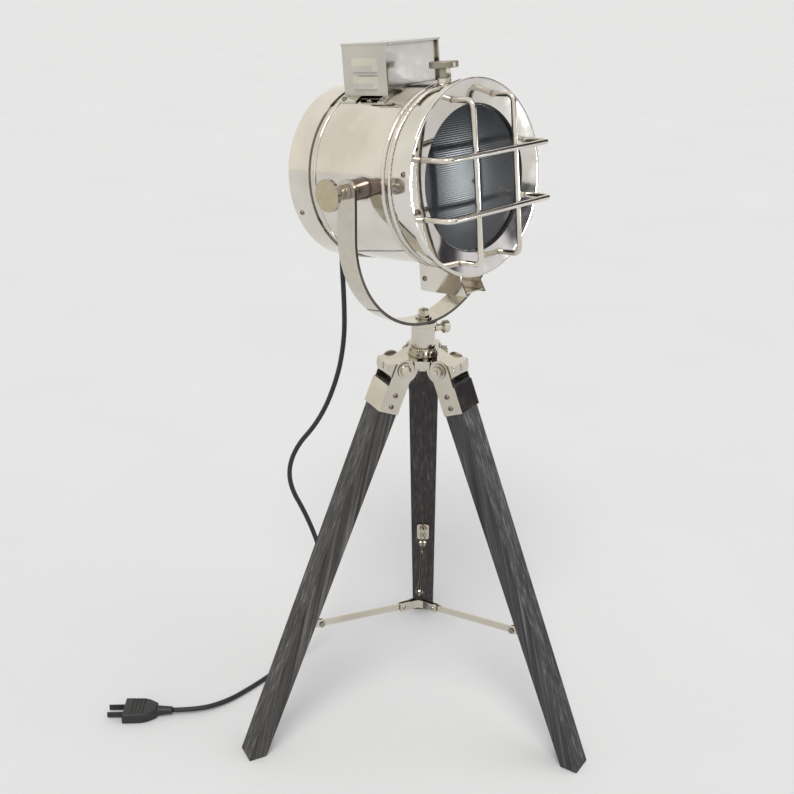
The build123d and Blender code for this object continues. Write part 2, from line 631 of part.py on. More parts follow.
def make_top_knob(outside):
    def at(height):
        return (0, TOP_KNOB_BEHIND - DRUM_FRONT, height)

    top = DRUM_RADIUS + TOP_KNOB_BASE
    foot = top + GAP
    disc_bottom = foot + TOP_KNOB_STEM
    disc_top = disc_bottom + TOP_KNOB_DISC
    base = rod(TOP_KNOB_BASE_RADIUS, at(DRUM_BORE), at(top)) - outside
    base = base.solids().sort_by(SortBy.VOLUME)[-1]
    base -= rod(THREAD_RADIUS + RUN, at(top - TOP_KNOB_THREAD - GAP), at(top + PAST))
    keep("head", "top_knob_base", base)
    disc = rod(TOP_KNOB_DISC_RADIUS, at(disc_bottom), at(disc_top))
    knob = chamfer(disc.edges().filter_by(GeomType.CIRCLE), TOP_KNOB_EASE)
    knob += hex_bar(TOP_KNOB_STEM_ACROSS, at(foot), at(disc_bottom))
    knob += rod(THREAD_RADIUS, at(top - TOP_KNOB_THREAD), at(foot))
    keep("top_knob", "top_knob", knob)


def make_tray(outside):
    """The sheet channel under the drum, open at both ends, with a gusset at each front corner."""
    half = TRAY_HALF_WIDTH
    tray = block(TRAY_REAR, TRAY_FRONT, -half, half, TRAY_BOTTOM, 0)
    rear, front = TRAY_REAR - PAST, TRAY_FRONT + PAST
    tray -= block(rear, front, SHEET - half, half - SHEET, TRAY_BOTTOM + SHEET, TRAY_ROOF)
    tray -= block(rear, front, SHEET - half, half - SHEET, TRAY_ROOF + SHEET, PAST)
    for side in (-1, 1):
        x = side * half
        corners = [(x, -TRAY_FRONT, TRAY_BOTTOM), (x, -TRAY_FRONT - TRAY_FLAP, TRAY_BOTTOM),
                   (x, -TRAY_FRONT, TRAY_BOTTOM + TRAY_FLAP_HEIGHT)]
        tray += extrude(make_face(Polyline(corners, close=True)), SHEET, dir=(-side, 0, 0))
    tray -= outside + tube(BEZEL_OUTSIDE, 0, BEZEL_BACK - BEZEL_SKIRT, BEZEL_BACK)
    for seat, way in TRAY_SCREWS:
        tray -= screw_hole(seat, way)
    keep("head", "lower_tray", tray)


def make_trunnions(outside):
    """Two bosses on the drum's sides, each with a stud that passes out through the yoke."""
    pair = []
    for side in (-1, 1):
        root, face = side * (DRUM_RADIUS - TRUNNION_SINK), side * (YOKE_INNER - GAP)
        boss = rod(TRUNNION_RADIUS, (root, 0, 0), (face, 0, 0))
        boss += rod(THREAD_RADIUS, (root, 0, 0), (side * (YOKE_OUTER + STUD_LENGTH), 0, 0))
        boss -= outside
        pair.append(boss.solids().sort_by(SortBy.VOLUME)[-1])
    keep("head", "trunnion_bosses", Compound(pair))


def make_tilt_knob(name, side):
    """A flared clamp knob that turns on the boss's stud, outside the yoke."""
    start = YOKE_OUTER + GAP
    end = start + TILT_KNOB_LENGTH
    neck = TILT_KNOB_NECK_RADIUS
    rim = end - TILT_KNOB_RIM
    collar = start + TILT_KNOB_COLLAR
    bore = THREAD_RADIUS + RUN
    bottom = YOKE_OUTER + STUD_LENGTH + GAP
    middle = (collar + rim) / 2 + TILT_KNOB_FLARE[0]
    outline = Wire([
        Line((bottom, 0), (bottom, bore)),
        Line((bottom, bore), (start, bore)),
        Line((start, bore), (start, TILT_KNOB_COLLAR_RADIUS)),
        Line((start, TILT_KNOB_COLLAR_RADIUS), (collar, TILT_KNOB_COLLAR_RADIUS)),
        Line((collar, TILT_KNOB_COLLAR_RADIUS), (collar, neck)),
        ThreePointArc((collar, neck), (middle, neck + TILT_KNOB_FLARE[1]), (rim, TILT_KNOB_RADIUS)),
        Line((rim, TILT_KNOB_RADIUS), (end, TILT_KNOB_RADIUS)),
        Line((end, TILT_KNOB_RADIUS), (end, 0)),
        Line((end, 0), (bottom, 0)),
    ])
    knob = revolve(make_face(outline), Axis.X)
    if side < 0:
        knob = Rot(0, 0, 180) * knob
    keep(name, name, Pos(0, 0, TILT_HEIGHT) * knob)


def gland_way():
    """The way the cord points as it leaves the head, in head coordinates."""
    dip = radians(GLAND_DIP)
    return Vector(0, cos(dip), -sin(dip))


def make_gland():
    floor = CAP_REAR - CAP_DISH
    root = Vector(0, -floor, GLAND_HEIGHT)
    length = GLAND_LENGTH + GLAND_SINK
    sleeve = Pos(0, 0, length / 2) * Cone(GLAND_RADIUS, GLAND_TIP_RADIUS, length)
    gland = Plane(origin=root - gland_way() * GLAND_SINK, z_dir=gland_way()).location * sleeve
    gland += Pos(0, 0, GLAND_HEIGHT) * tube(GLAND_FLANGE_RADIUS, 0, floor - GLAND_FLANGE, floor)
    reach = 2 * length
    gland -= block(floor, floor + reach, -reach, reach, GLAND_HEIGHT - reach, GLAND_HEIGHT + reach)
    keep("head", "cord_gland", gland)


def make_housing_screws():
    """All the small domed screws of the head, one kind, in one group."""
    places = BEZEL_SCREWS + CAP_SCREWS + FLANGE_SCREWS + NOTCH_SCREWS + TRAY_SCREWS
    screws = [domed_screw(seat, way).solid() for seat, way in places]
    keep("head", "housing_screws", Compound(screws))


def u_form(reach):
    """The inside of a U on the XZ plane: a half circle with straight sides above it."""
    bend = Pos(0, YOKE_BEND_HEIGHT) * Circle(reach)
    lower = bend & Pos(0, YOKE_BEND_HEIGHT - reach / 2) * Rectangle(2 * reach, reach)
    height = TILT_HEIGHT + YOKE_WIDTH / 2 - YOKE_BEND_HEIGHT
    return lower + Pos(0, YOKE_BEND_HEIGHT + height / 2) * Rectangle(2 * reach, height)


def make_yoke():
    half = YOKE_WIDTH / 2
    reach = YOKE_OUTER + PAST
    strap = extrude(Plane.XZ * (u_form(YOKE_OUTER) - u_form(YOKE_INNER)), half, both=True)
    rounded = rod(half, (-reach, 0, TILT_HEIGHT), (reach, 0, TILT_HEIGHT))
    rounded += Pos(0, 0, TILT_HEIGHT / 2) * Box(2 * reach, 2 * half, TILT_HEIGHT)
    strap &= rounded
    strap -= rod(THREAD_RADIUS + RUN, (-reach, 0, TILT_HEIGHT), (reach, 0, TILT_HEIGHT))
    strap -= rod(YOKE_BOLT_RADIUS + SEAT, (0, 0, YOKE_UNDERSIDE - PAST), (0, 0, YOKE_TOPSIDE + PAST))
    strap -= rod(WASHER_RADIUS + SEAT, (0, 0, YOKE_TOPSIDE), (0, 0, YOKE_TOPSIDE + WASHER))
    keep("yoke", "yoke_strap", strap)


def upright(radius, low, high):
    """A round bar on the stand's upright axis."""
    return rod(radius, (0, 0, low), (0, 0, high))


def make_stem():
    floor = CROWN_TOP + GAP
    top = YOKE_UNDERSIDE
    stem = upright(STEM_RADIUS, floor, top) + upright(STEM_FLANGE_RADIUS, top - STEM_FLANGE, top)
    stem -= upright(POST_RADIUS + RUN, floor - PAST, top - STEM_CAP)
    stem -= upright(YOKE_BOLT_RADIUS + SEAT, top - STEM_CAP - PAST, top + PAST)
    start = radial(PAN_SCREW_TURN, POST_RADIUS, PAN_SCREW_HEIGHT)
    end = radial(PAN_SCREW_TURN, STEM_FLANGE_RADIUS + PAST, PAN_SCREW_HEIGHT)
    keep("yoke", "stem_tube", stem - rod(PAN_SCREW_RADIUS + RUN, start, end))


def make_yoke_bolt():
    top = YOKE_TOPSIDE + WASHER
    head_top = top + YOKE_BOLT_HEAD
    half = YOKE_BOLT_ACROSS / 2
    washer = upright(WASHER_RADIUS, YOKE_TOPSIDE, top)
    washer -= upright(YOKE_BOLT_RADIUS + SEAT, YOKE_TOPSIDE - PAST, top + PAST)
    keep("yoke", "yoke_washer", washer)
    bolt = upright(YOKE_BOLT_RADIUS, YOKE_UNDERSIDE - YOKE_BOLT_LENGTH, top)
    bolt += hex_bar(YOKE_BOLT_ACROSS, (0, 0, top), (0, 0, head_top))
    dome = (0, 0), (0, half), (YOKE_BOLT_DOME, half / 2), (YOKE_BOLT_DOME, 0)
    bolt += spun((0, 0, head_top), (0, 0, 1), *dome)
    keep("yoke", "yoke_bolt", bolt)


def make_pan_screw():
    tip = POST_RADIUS + GAP
    neck = STEM_RADIUS + GAP
    head = neck + PAN_SCREW_NECK
    end = head + PAN_SCREW_HEAD
    keep("pan_screw", "pan_screw", spun(
        (0, 0, PAN_SCREW_HEIGHT), radial(PAN_SCREW_TURN, 1, 0),
        (tip, 0), (tip, PAN_SCREW_RADIUS), (neck, PAN_SCREW_RADIUS), (neck, PAN_SCREW_NECK_RADIUS),
        (head - PAN_SCREW_FLARE, PAN_SCREW_NECK_RADIUS), (head, PAN_SCREW_HEAD_RADIUS),
        (end - PAN_SCREW_EASE, PAN_SCREW_HEAD_RADIUS),
        (end, PAN_SCREW_HEAD_RADIUS - PAN_SCREW_EASE), (end, 0),
    ))


def radial(turn, out, height):
    return (out * cos(radians(turn)), out * sin(radians(turn)), height)


def pivot_at(across):
    """A point on the pivot axis of a leg that stands towards +X."""
    return (PIVOT_RADIUS, across, PIVOT_HEIGHT)


def make_crown():
    reach = 2 * CROWN_INRADIUS
    bottom = CROWN_TOP - CROWN_THICKNESS
    outline = RegularPolygon(reach, 3, rotation=BACK_LEG_TURN)
    crown = extrude(Plane.XY.offset(bottom) * outline, CROWN_THICKNESS)
    lug_half = CHEEK_INNER - GAP
    slot_width = CHEEK_OUTER + GAP - lug_half
    slot_start = PIVOT_RADIUS - BRACKET_HALF_DEPTH - GAP
    for turn in LEG_TURNS:
        lobe = Pos(CROWN_LOBE_REACH / 2, 0, CROWN_TOP - CROWN_THICKNESS / 2)
        lobe *= Box(CROWN_LOBE_REACH, 2 * lug_half, CROWN_THICKNESS)
        lobe = chamfer(lobe.edges().filter_by(Axis.Z).group_by(Axis.X)[-1], CROWN_CORNER)
        knuckle = rod(KNUCKLE_RADIUS, pivot_at(-lug_half), pivot_at(lug_half))
        knuckle &= Pos(PIVOT_RADIUS, 0, CROWN_TOP - reach) * Box(reach, 2 * reach, 2 * reach)
        crown += Rot(0, 0, turn) * (lobe + knuckle)
    tips = Pos(0, 0, PIVOT_HEIGHT) * Cylinder(hypot(CROWN_LOBE_REACH, lug_half), 2 * reach)
    crown &= tips
    for turn in LEG_TURNS:
        for side in (-1, 1):
            across = side * (lug_half + slot_width / 2)
            slot = Pos(slot_start + reach / 2, across, CROWN_TOP) * Box(reach, slot_width, 2 * reach)
            crown -= Rot(0, 0, turn) * slot
        crown -= Rot(0, 0, turn) * rod(LEG_BOLT_RADIUS, pivot_at(-reach), pivot_at(reach))
    seat = CROWN_TOP - SWIVEL_SEAT_DEPTH
    crown += upright(SWIVEL_BOSS_RADIUS, seat - SWIVEL_SEAT_FLOOR, bottom + PAST)
    crown -= upright(POST_RADIUS + SEAT, seat, CROWN_TOP + PAST)
    keep("stand", "crown", crown)
    post_top = YOKE_UNDERSIDE - STEM_CAP - GAP
    keep("stand", "swivel_post", upright(POST_RADIUS, seat, post_top))


def make_collar():
    """The ring that guides the stem, and the two screws in its front."""
    height = CROWN_TOP + COLLAR_HEIGHT / 2
    top = CROWN_TOP + COLLAR_HEIGHT
    ring = upright(COLLAR_RADIUS, CROWN_TOP, top)
    ring -= upright(STEM_RADIUS + RUN, CROWN_TOP - PAST, top + PAST)
    screws = []
    for turn in COLLAR_SCREW_TURNS:
        start = radial(turn, STEM_RADIUS + GAP, height)
        seat = radial(turn, COLLAR_RADIUS + SEAT, height)
        end = radial(turn, COLLAR_RADIUS + SEAT + COLLAR_SCREW_HEAD, height)
        ring -= rod(COLLAR_SCREW_RADIUS, radial(turn, POST_RADIUS, height), seat)
        head = rod(COLLAR_SCREW_HEAD_RADIUS, seat, end)
        rim = head.edges().filter_by(GeomType.CIRCLE).sort_by_distance((0, 0, height))[-1]
        head = chamfer(rim, COLLAR_SCREW_EASE)
        screws.append((rod(COLLAR_SCREW_RADIUS, start, seat) + head).solid())
    keep("stand", "stem_collar", ring)
    keep("stand", "collar_screws", Compound(screws))


def make_leg_bolts():
    """Each leg's pivot bolt with its washer, and the nut and washer at its far end."""
    face = CHEEK_OUTER + GAP
    washer = face + LEG_WASHER
    nut_end = washer + LEG_NUT
    bolt = rod(LEG_BOLT_RADIUS, pivot_at(-nut_end - PAST), pivot_at(face))
    bolt += rod(LEG_WASHER_RADIUS, pivot_at(face), pivot_at(washer))
    radius, height = LEG_BOLT_HEAD_RADIUS, LEG_BOLT_HEAD
    bolt += spun(pivot_at(washer), (0, 1, 0), (0, 0), (0, radius), (height * 0.6, radius * 0.88),
                 (height, radius * 0.4), (height, 0))
    nut = rod(LEG_WASHER_RADIUS, pivot_at(-face), pivot_at(-washer))
    nut += hex_bar(LEG_NUT_ACROSS, pivot_at(-washer), pivot_at(-nut_end))
    nut -= rod(LEG_BOLT_RADIUS, pivot_at(0), pivot_at(-nut_end - PAST))
    bolts = [(Rot(0, 0, turn) * bolt).solid() for turn in LEG_TURNS]
    nuts = [(Rot(0, 0, turn) * nut).solid() for turn in LEG_TURNS]
    keep("stand", "leg_pivot_bolts", Compound(bolts))
    keep("stand", "leg_pivot_nuts", Compound(nuts))


def leg_place(turn):
    """Leg coordinates: X outward square to the leg, Y across it, Z up along it, origin at its pivot."""
    return Rot(0, 0, turn) * Pos(PIVOT_RADIUS, 0, PIVOT_HEIGHT) * Rot(0, -LEG_SPLAY, 0)


def taper(along):
    """The wood's radial depth and width at a distance down the leg."""
    share = (along - WOOD_START) / (LEG_LENGTH - WOOD_START)
    return [top + (foot - top) * share for top, foot in zip(WOOD_TOP, WOOD_FOOT)]


def cheek_screw_seats():
    """Seats and ways of the screws through both bracket cheeks, in leg coordinates."""
    return [((0, side * CHEEK_OUTER, -along), (0, side, 0)) for along in CHEEK_SCREWS for side in (-1, 1)]


def clevis_place():
    """The arm pivot in leg coordinates, with +X square into the leg's inner face."""
    inner = taper(CLEVIS_AT)[0] / 2
    lean = asin((WOOD_TOP[0] - WOOD_FOOT[0]) / 2 / (LEG_LENGTH - WOOD_START))
    on_face = Pos(-inner, 0, -CLEVIS_AT) * Rot(0, -degrees(lean), 0)
    return on_face * Pos(-CLEVIS_STAND_OFF, 0, 0)


def clevis_in_stand():
    """The arm pivot's distance from the upright axis and its height."""
    point = (leg_place(0) * clevis_place()).position
    return point.X, point.Z


CLEVIS_SCREW = ((CLEVIS_STAND_OFF - CLEVIS_PLATE[2], 0, CLEVIS_SCREW_ABOVE), (-1, 0, 0))


def make_wood(name, place):
    end = LEG_LENGTH + WOOD_FOOT[0]
    top = Plane(origin=(0, 0, -WOOD_START)) * Rectangle(*taper(WOOD_START))
    foot = Plane(origin=(0, 0, -end)) * Rectangle(*taper(end))
    wood = loft([top, foot], ruled=True)
    long_edges = wood.edges().filter_by(lambda e: e.length > LEG_LENGTH / 2)
    wood = chamfer(long_edges, WOOD_EASE)
    for seat, way in cheek_screw_seats():
        wood -= screw_hole(seat, way)
    wood -= clevis_place() * screw_hole(*CLEVIS_SCREW)
    above_ground = Pos(0, 0, PIVOT_HEIGHT / 2) * Box(4 * PIVOT_HEIGHT, 4 * PIVOT_HEIGHT, PIVOT_HEIGHT)
    keep(f"leg_{name}", f"leg_{name}_wood", (place * wood) & above_ground)


def make_bracket(name, place):
    half = BRACKET_HALF_DEPTH
    bracket = Pos(0, 0, -BRACKET_LENGTH / 2) * Box(2 * half, 2 * CHEEK_OUTER, BRACKET_LENGTH)
    bracket += rod(half, (0, -CHEEK_OUTER, 0), (0, CHEEK_OUTER, 0))
    back_height = BRACKET_LENGTH - BRACKET_BACK_START
    back = Pos(half + BRACKET_SHEET / 2, 0, -BRACKET_BACK_START - back_height / 2)
    bracket += back * Box(BRACKET_SHEET, 2 * CHEEK_OUTER, back_height)
    bracket -= Box(2 * half, 2 * CHEEK_INNER, 4 * BRACKET_LENGTH)
    bracket -= rod(LEG_BOLT_RADIUS + RUN, (0, -CHEEK_OUTER - PAST, 0), (0, CHEEK_OUTER + PAST, 0))
    for seat, way in cheek_screw_seats():
        bracket -= screw_hole(seat, way)
    keep(f"leg_{name}", f"leg_{name}_bracket", place * bracket)


def make_clevis(name, place):
    width, height, plate = CLEVIS_PLATE
    face = CLEVIS_STAND_OFF
    clevis = Pos(face - plate / 2, 0, CLEVIS_PLATE_ABOVE - height / 2) * Box(plate, width, height)
    clevis = fillet(clevis.edges().filter_by(Axis.X), CLEVIS_CORNER)
    ear_inner = ARM_THICKNESS / 2 + ARM_GAP
    ear_outer = ear_inner + CLEVIS_EAR
    for side in (-1, 1):
        clevis += rod(CLEVIS_EAR_RADIUS, (0, side * ear_inner, 0), (0, side * ear_outer, 0))
        middle = Pos((face - plate) / 2, side * (ear_inner + ear_outer) / 2, 0)
        clevis += middle * Box(face - plate, CLEVIS_EAR, 2 * CLEVIS_EAR_RADIUS)
    clevis -= rod(CLEVIS_PIN_RADIUS, (0, -ear_outer - PAST, 0), (0, ear_outer + PAST, 0))
    clevis -= screw_hole(*CLEVIS_SCREW)
    pin_end = ear_outer + CLEVIS_PIN_HEAD
    pin = rod(CLEVIS_PIN_RADIUS, (0, -ear_outer, 0), (0, ear_outer, 0))
    pin += rod(CLEVIS_PIN_HEAD_RADIUS, (0, ear_outer, 0), (0, pin_end, 0))
    pin += rod(CLEVIS_PIN_HEAD_RADIUS, (0, -ear_outer, 0), (0, -pin_end, 0))
    to_pivot = place * clevis_place()
    keep(f"leg_{name}", f"leg_{name}_clevis", to_pivot * clevis)
    keep(f"leg_{name}", f"leg_{name}_clevis_pin", to_pivot * pin)


def make_leg_screws(name, place):
    screws = [place * domed_screw(seat, way) for seat, way in cheek_screw_seats()]
    screws.append(place * clevis_place() * domed_screw(*CLEVIS_SCREW))
    keep(f"leg_{name}", f"leg_{name}_screws", Compound([screw.solid() for screw in screws]))


def hub_height():
    """How high the hub's pivots are at rest."""
    return clevis_in_stand()[1] - ARM_FALL


def make_arm(name, turn):
    """A thin blade on edge, from the leg's clevis to the hub."""
    out, height = clevis_in_stand()
    length = hypot(out - HUB_PIVOT_RADIUS, ARM_FALL)
    tilt = degrees(asin(ARM_FALL / length))
    half = ARM_THICKNESS / 2
    blade = Pos(-(length + ARM_TAIL) / 2, 0, 0) * Box(length + ARM_TAIL, ARM_THICKNESS, ARM_HEIGHT)
    blade += rod(ARM_HEIGHT / 2, (0, -half, 0), (0, half, 0))
    inner_end = blade.edges().filter_by(Axis.Y).group_by(Axis.X)[0]
    blade = chamfer(inner_end, ARM_TAIL_EASE)
    blade -= rod(CLEVIS_PIN_RADIUS + RUN, (0, -half - PAST, 0), (0, half + PAST, 0))
    arm = Rot(0, 0, turn) * Pos(out, 0, height) * Rot(0, -tilt, 0) * blade
    keep(f"arm_{name}", f"arm_{name}", arm)


def make_hub():
    """Three folded walls round a core, with an open slot for each arm."""
    wall = SLOT + HUB_SHEET
    middle = hub_height()
    bottom = middle - HUB_HEIGHT / 2
    plan = Sketch() + [
        Rot(0, 0, turn) * Pos(HUB_LOBE_REACH / 2, 0) * Rectangle(HUB_LOBE_REACH, 2 * wall)
        for turn in LEG_TURNS
    ]
    crotches = [v for v in plan.vertices() if hypot(v.X, v.Y) < HUB_LOBE_REACH / 2]
    hub = extrude(Plane.XY.offset(bottom) * fillet(crotches, HUB_WEB_RADIUS), HUB_HEIGHT)
    length = HUB_LOBE_REACH + PAST
    for turn in LEG_TURNS:
        slot = Pos(length / 2, 0, middle) * Box(length, 2 * SLOT, HUB_HEIGHT + 2 * PAST)
        hub -= Rot(0, 0, turn) * slot
    hub += upright(HUB_CORE_RADIUS, bottom, bottom + HUB_HEIGHT)
    rivets = []
    for side in (-1, 1):
        start = (HUB_PIVOT_RADIUS, side * SLOT, middle)
        face = (HUB_PIVOT_RADIUS, side * wall, middle)
        shank = rod(HUB_RIVET_SHANK_RADIUS, start, face)
        head = spun(face, (0, side, 0), (0, 0), (0, HUB_RIVET_RADIUS),
                    (HUB_RIVET_HEAD, HUB_RIVET_RADIUS * 0.55), (HUB_RIVET_HEAD, 0))
        for turn in LEG_TURNS:
            hub -= Rot(0, 0, turn) * shank
            rivets.append((Rot(0, 0, turn) * (shank + head)).solid())
    keep("hub", "spreader_hub", hub)
    keep("hub", "hub_rivets", Compound(rivets))


def make_legs():
    for name, turn in zip(LEG_NAMES, LEG_TURNS):
        place = leg_place(turn)
        make_wood(name, place)
        make_bracket(name, place)
        make_clevis(name, place)
        make_leg_screws(name, place)
        make_arm(name, turn)


def fold_motion():
    """How far the arms turn against their legs and the hub drops while the legs fold in."""
    out, height = clevis_in_stand()
    length = hypot(out - HUB_PIVOT_RADIUS, ARM_FALL)
    reach = hypot(out - PIVOT_RADIUS, PIVOT_HEIGHT - height)
    swing = asin((out - PIVOT_RADIUS) / reach) - radians(FOLD_ANGLE)
    out_folded = PIVOT_RADIUS + reach * sin(swing)
    height_folded = PIVOT_HEIGHT - reach * cos(swing)
    slope_rest = asin(ARM_FALL / length)
    slope_folded = acos((out_folded - HUB_PIVOT_RADIUS) / length)
    drop = hub_height() - (height_folded - length * sin(slope_folded))
    return degrees(slope_folded - slope_rest) + FOLD_ANGLE, -drop


def cord_exit():
    """Where the cord leaves the gland, and which way, in stand coordinates."""
    root = Vector(0, CAP_DISH - CAP_REAR, GLAND_HEIGHT)
    tip = HEAD * Pos(root + gland_way() * GLAND_LENGTH)
    before = HEAD * Pos(root)
    return tip.position, (tip.position - before.position).normalized()


def bend_radii(points):
    """For each inner point of a route, 0.45 of the shorter run over the tangent of half the turn."""
    radii = []
    for before, here, after in zip(points, points[1:], points[2:]):
        one, two = here - before, after - here
        half_turn = radians(one.get_angle(two)) / 2
        radii.append(0.45 * min(one.length, two.length) / tan(half_turn))
    return radii


def cord_tube(name, points):
    points = [Vector(*p) for p in points]
    radii = bend_radii(points)
    path = FilletPolyline(points, radius=radii)
    start = Plane(origin=points[0], z_dir=points[1] - points[0])
    cord = sweep(start * Circle(CORD_RADIUS), path)
    share = cord.volume / (pi * CORD_RADIUS**2 * path.length)
    print(name, "length", round(path.length, 1), "volume share", round(share, 4))
    print(name, "radii", [round(r, 1) for r in radii])
    return cord


def make_cord():
    exit_point, way = cord_exit()
    bend, drop = exit_point + Vector(*CORD_HANG_END), exit_point + Vector(*CORD_DROP_START)
    join = (bend + drop) / 2
    hang = [exit_point, exit_point + way * CORD_FIRST_RUN, bend, join]
    keep("yoke", "cord_hang", cord_tube("cord_hang", hang))
    keep("stand", "cord_drop", cord_tube("cord_drop", [join, drop] + CORD_DROP))


def mirrored_outline(points, thick):
    """A flat slab from half an outline along +X, mirrored across it."""
    upper = [(along, width) for along, width in points if width > 0]
    lower = [(along, -width) for along, width in reversed(upper)]
    return extrude(make_face(Polyline(upper + lower, close=True)), thick / 2, both=True)


def make_plug():
    """A flat moulded plug with grip grooves, lying on the ground at the cord's end."""
    end, before = Vector(*CORD_DROP[-1]), Vector(*CORD_DROP[-2])
    place = Plane(origin=end, x_dir=end - before, z_dir=(0, 0, 1)).location
    body = mirrored_outline(PLUG_BODY, 2 * PLUG_HALF_THICK)
    long_edges = body.edges().filter_by(lambda e: abs(e.center().Z) > PLUG_HALF_THICK / 2)
    body = fillet(long_edges, PLUG_EDGE)
    neck = spun((0, 0, 0), (1, 0, 0), (0, 0), *[(a, r) for a, r in PLUG_NECK], (PLUG_NECK[-1][0], 0))
    plug = body + neck
    width, depth = PLUG_GROOVE
    for along in PLUG_GROOVES:
        for side in (-1, 1):
            height = side * (PLUG_HALF_THICK - depth / 2)
            plug -= Pos(along, 0, height) * Box(width, 4 * PLUG_HALF_THICK, depth)
    length, thick, wide = PLUG_BLADE
    face = PLUG_BODY[3][0]
    for side in (-1, 1):
        across = side * PLUG_BLADE_SPACING / 2
        plug += Pos(face + length / 2, across, 0) * Box(length, thick, wide)
    keep("stand", "plug", place * plug)


def make_all():
    outside = drum_outside()
    make_drum(outside)
    make_rear_cap()
    make_bezel()
    make_lens()
    make_reflector()
    make_lamp_holder()
    make_guard()
    make_vent_box(outside)
    make_top_knob(outside)
    make_tray(outside)
    make_trunnions(outside)
    make_gland()
    make_housing_screws()
    make_tilt_knob("tilt_knob_left", -1)
    make_tilt_knob("tilt_knob_right", 1)
    make_yoke()
    make_stem()
    make_yoke_bolt()
    make_pan_screw()
    make_crown()
    make_collar()
    make_leg_bolts()
    make_legs()
    make_hub()
    make_cord()
    make_plug()


CORD_NODES = ("cord_hang", "cord_drop", "plug")


def placed(body, shape):
    """A piece in stand coordinates, with what rides on the head tipped by the head's rest angle."""
    return HEAD * shape if body in ("head", "top_knob") else shape


def row_shift():
    """The move that puts the middle of the lamp's box, without its cord, over the origin."""
    boxes = [shape.bounding_box() for name, shape in solids.items() if name not in CORD_NODES]
    low = [min(getattr(box.min, axis) for box in boxes) for axis in "XYZ"]
    high = [max(getattr(box.max, axis) for box in boxes) for axis in "XYZ"]
    return Vector(-(low[0] + high[0]) / 2, -(low[1] + high[1]) / 2, -low[2])


make_all()
solids = {name: placed(body, shape) for name, (body, shape) in nodes.items()}
SHIFT = row_shift()

os.makedirs("parts", exist_ok=True)
for name, shape in solids.items():
    export_step(Pos(SHIFT) * shape, f"parts/{name}.step")
print("folded: arms turn", round(fold_motion()[0], 3), "hub moves", round(fold_motion()[1], 3))
print("nodes", len(solids), "stand axis at", round(SHIFT.X, 4), round(SHIFT.Y, 4), round(SHIFT.Z, 4))
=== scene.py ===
import json
import math

import bmesh
import bpy
from mathutils import Matrix, Vector


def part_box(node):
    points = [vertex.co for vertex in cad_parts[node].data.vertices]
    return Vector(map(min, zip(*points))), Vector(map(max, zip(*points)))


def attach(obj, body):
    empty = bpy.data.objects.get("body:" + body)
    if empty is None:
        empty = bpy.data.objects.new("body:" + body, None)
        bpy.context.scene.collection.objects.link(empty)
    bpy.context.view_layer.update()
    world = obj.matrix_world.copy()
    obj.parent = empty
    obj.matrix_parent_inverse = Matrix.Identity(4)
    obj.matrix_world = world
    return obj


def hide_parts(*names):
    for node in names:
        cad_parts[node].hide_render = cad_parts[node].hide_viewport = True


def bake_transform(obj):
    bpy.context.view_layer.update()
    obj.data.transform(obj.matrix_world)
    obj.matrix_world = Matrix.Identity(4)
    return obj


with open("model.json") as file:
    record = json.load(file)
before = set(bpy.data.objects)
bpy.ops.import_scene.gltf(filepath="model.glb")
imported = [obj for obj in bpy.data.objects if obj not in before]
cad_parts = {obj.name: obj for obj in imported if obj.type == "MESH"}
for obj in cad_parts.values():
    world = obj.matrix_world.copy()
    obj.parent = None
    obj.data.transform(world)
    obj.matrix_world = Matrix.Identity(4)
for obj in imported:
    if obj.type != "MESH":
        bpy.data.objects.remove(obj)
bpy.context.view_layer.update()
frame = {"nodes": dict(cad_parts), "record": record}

# Looks of the tabletop searchlight lamp. Lengths are in metres, in the lamp's own frame.
# AXIS is the stand's upright axis; places are given from it where they say so.
MM = 0.001
POST_LOW, POST_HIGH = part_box("swivel_post")
AXIS = Vector(((POST_LOW.x + POST_HIGH.x) / 2, (POST_LOW.y + POST_HIGH.y) / 2, 0))


# Camera, placed from the axis

CAMERA_PLACE = Vector((-0.8109, -0.7480, 0.8329))
CAMERA_AIM = Vector((0.6879, 0.6325, -0.3561))
CAMERA_ROLL = math.radians(1.03)
CAMERA_LENS = 53.72
CAMERA_SHIFT = (-0.0349, -0.0517)


def make_camera():
    """A camera that looks along CAMERA_AIM, rolled a little."""
    data = bpy.data.cameras.new("camera")
    data.lens = CAMERA_LENS
    data.shift_x, data.shift_y = CAMERA_SHIFT
    aim = CAMERA_AIM.normalized()
    right = aim.cross(Vector((0, 0, 1))).normalized()
    up = right.cross(aim)
    tilted_right = right * math.cos(CAMERA_ROLL) + up * math.sin(CAMERA_ROLL)
    tilted_up = up * math.cos(CAMERA_ROLL) - right * math.sin(CAMERA_ROLL)
    turn = Matrix((tilted_right, tilted_up, -aim)).transposed().to_4x4()
    camera = bpy.data.objects.new("camera", data)
    camera.matrix_world = Matrix.Translation(CAMERA_PLACE + AXIS) @ turn
    bpy.context.scene.collection.objects.link(camera)
    bpy.context.scene.camera = camera


make_camera()


# Cord: one cable in two pieces, its points in millimetres from the axis.
# The first piece hangs between head and yoke, the second drops from the yoke to the floor and the plug.

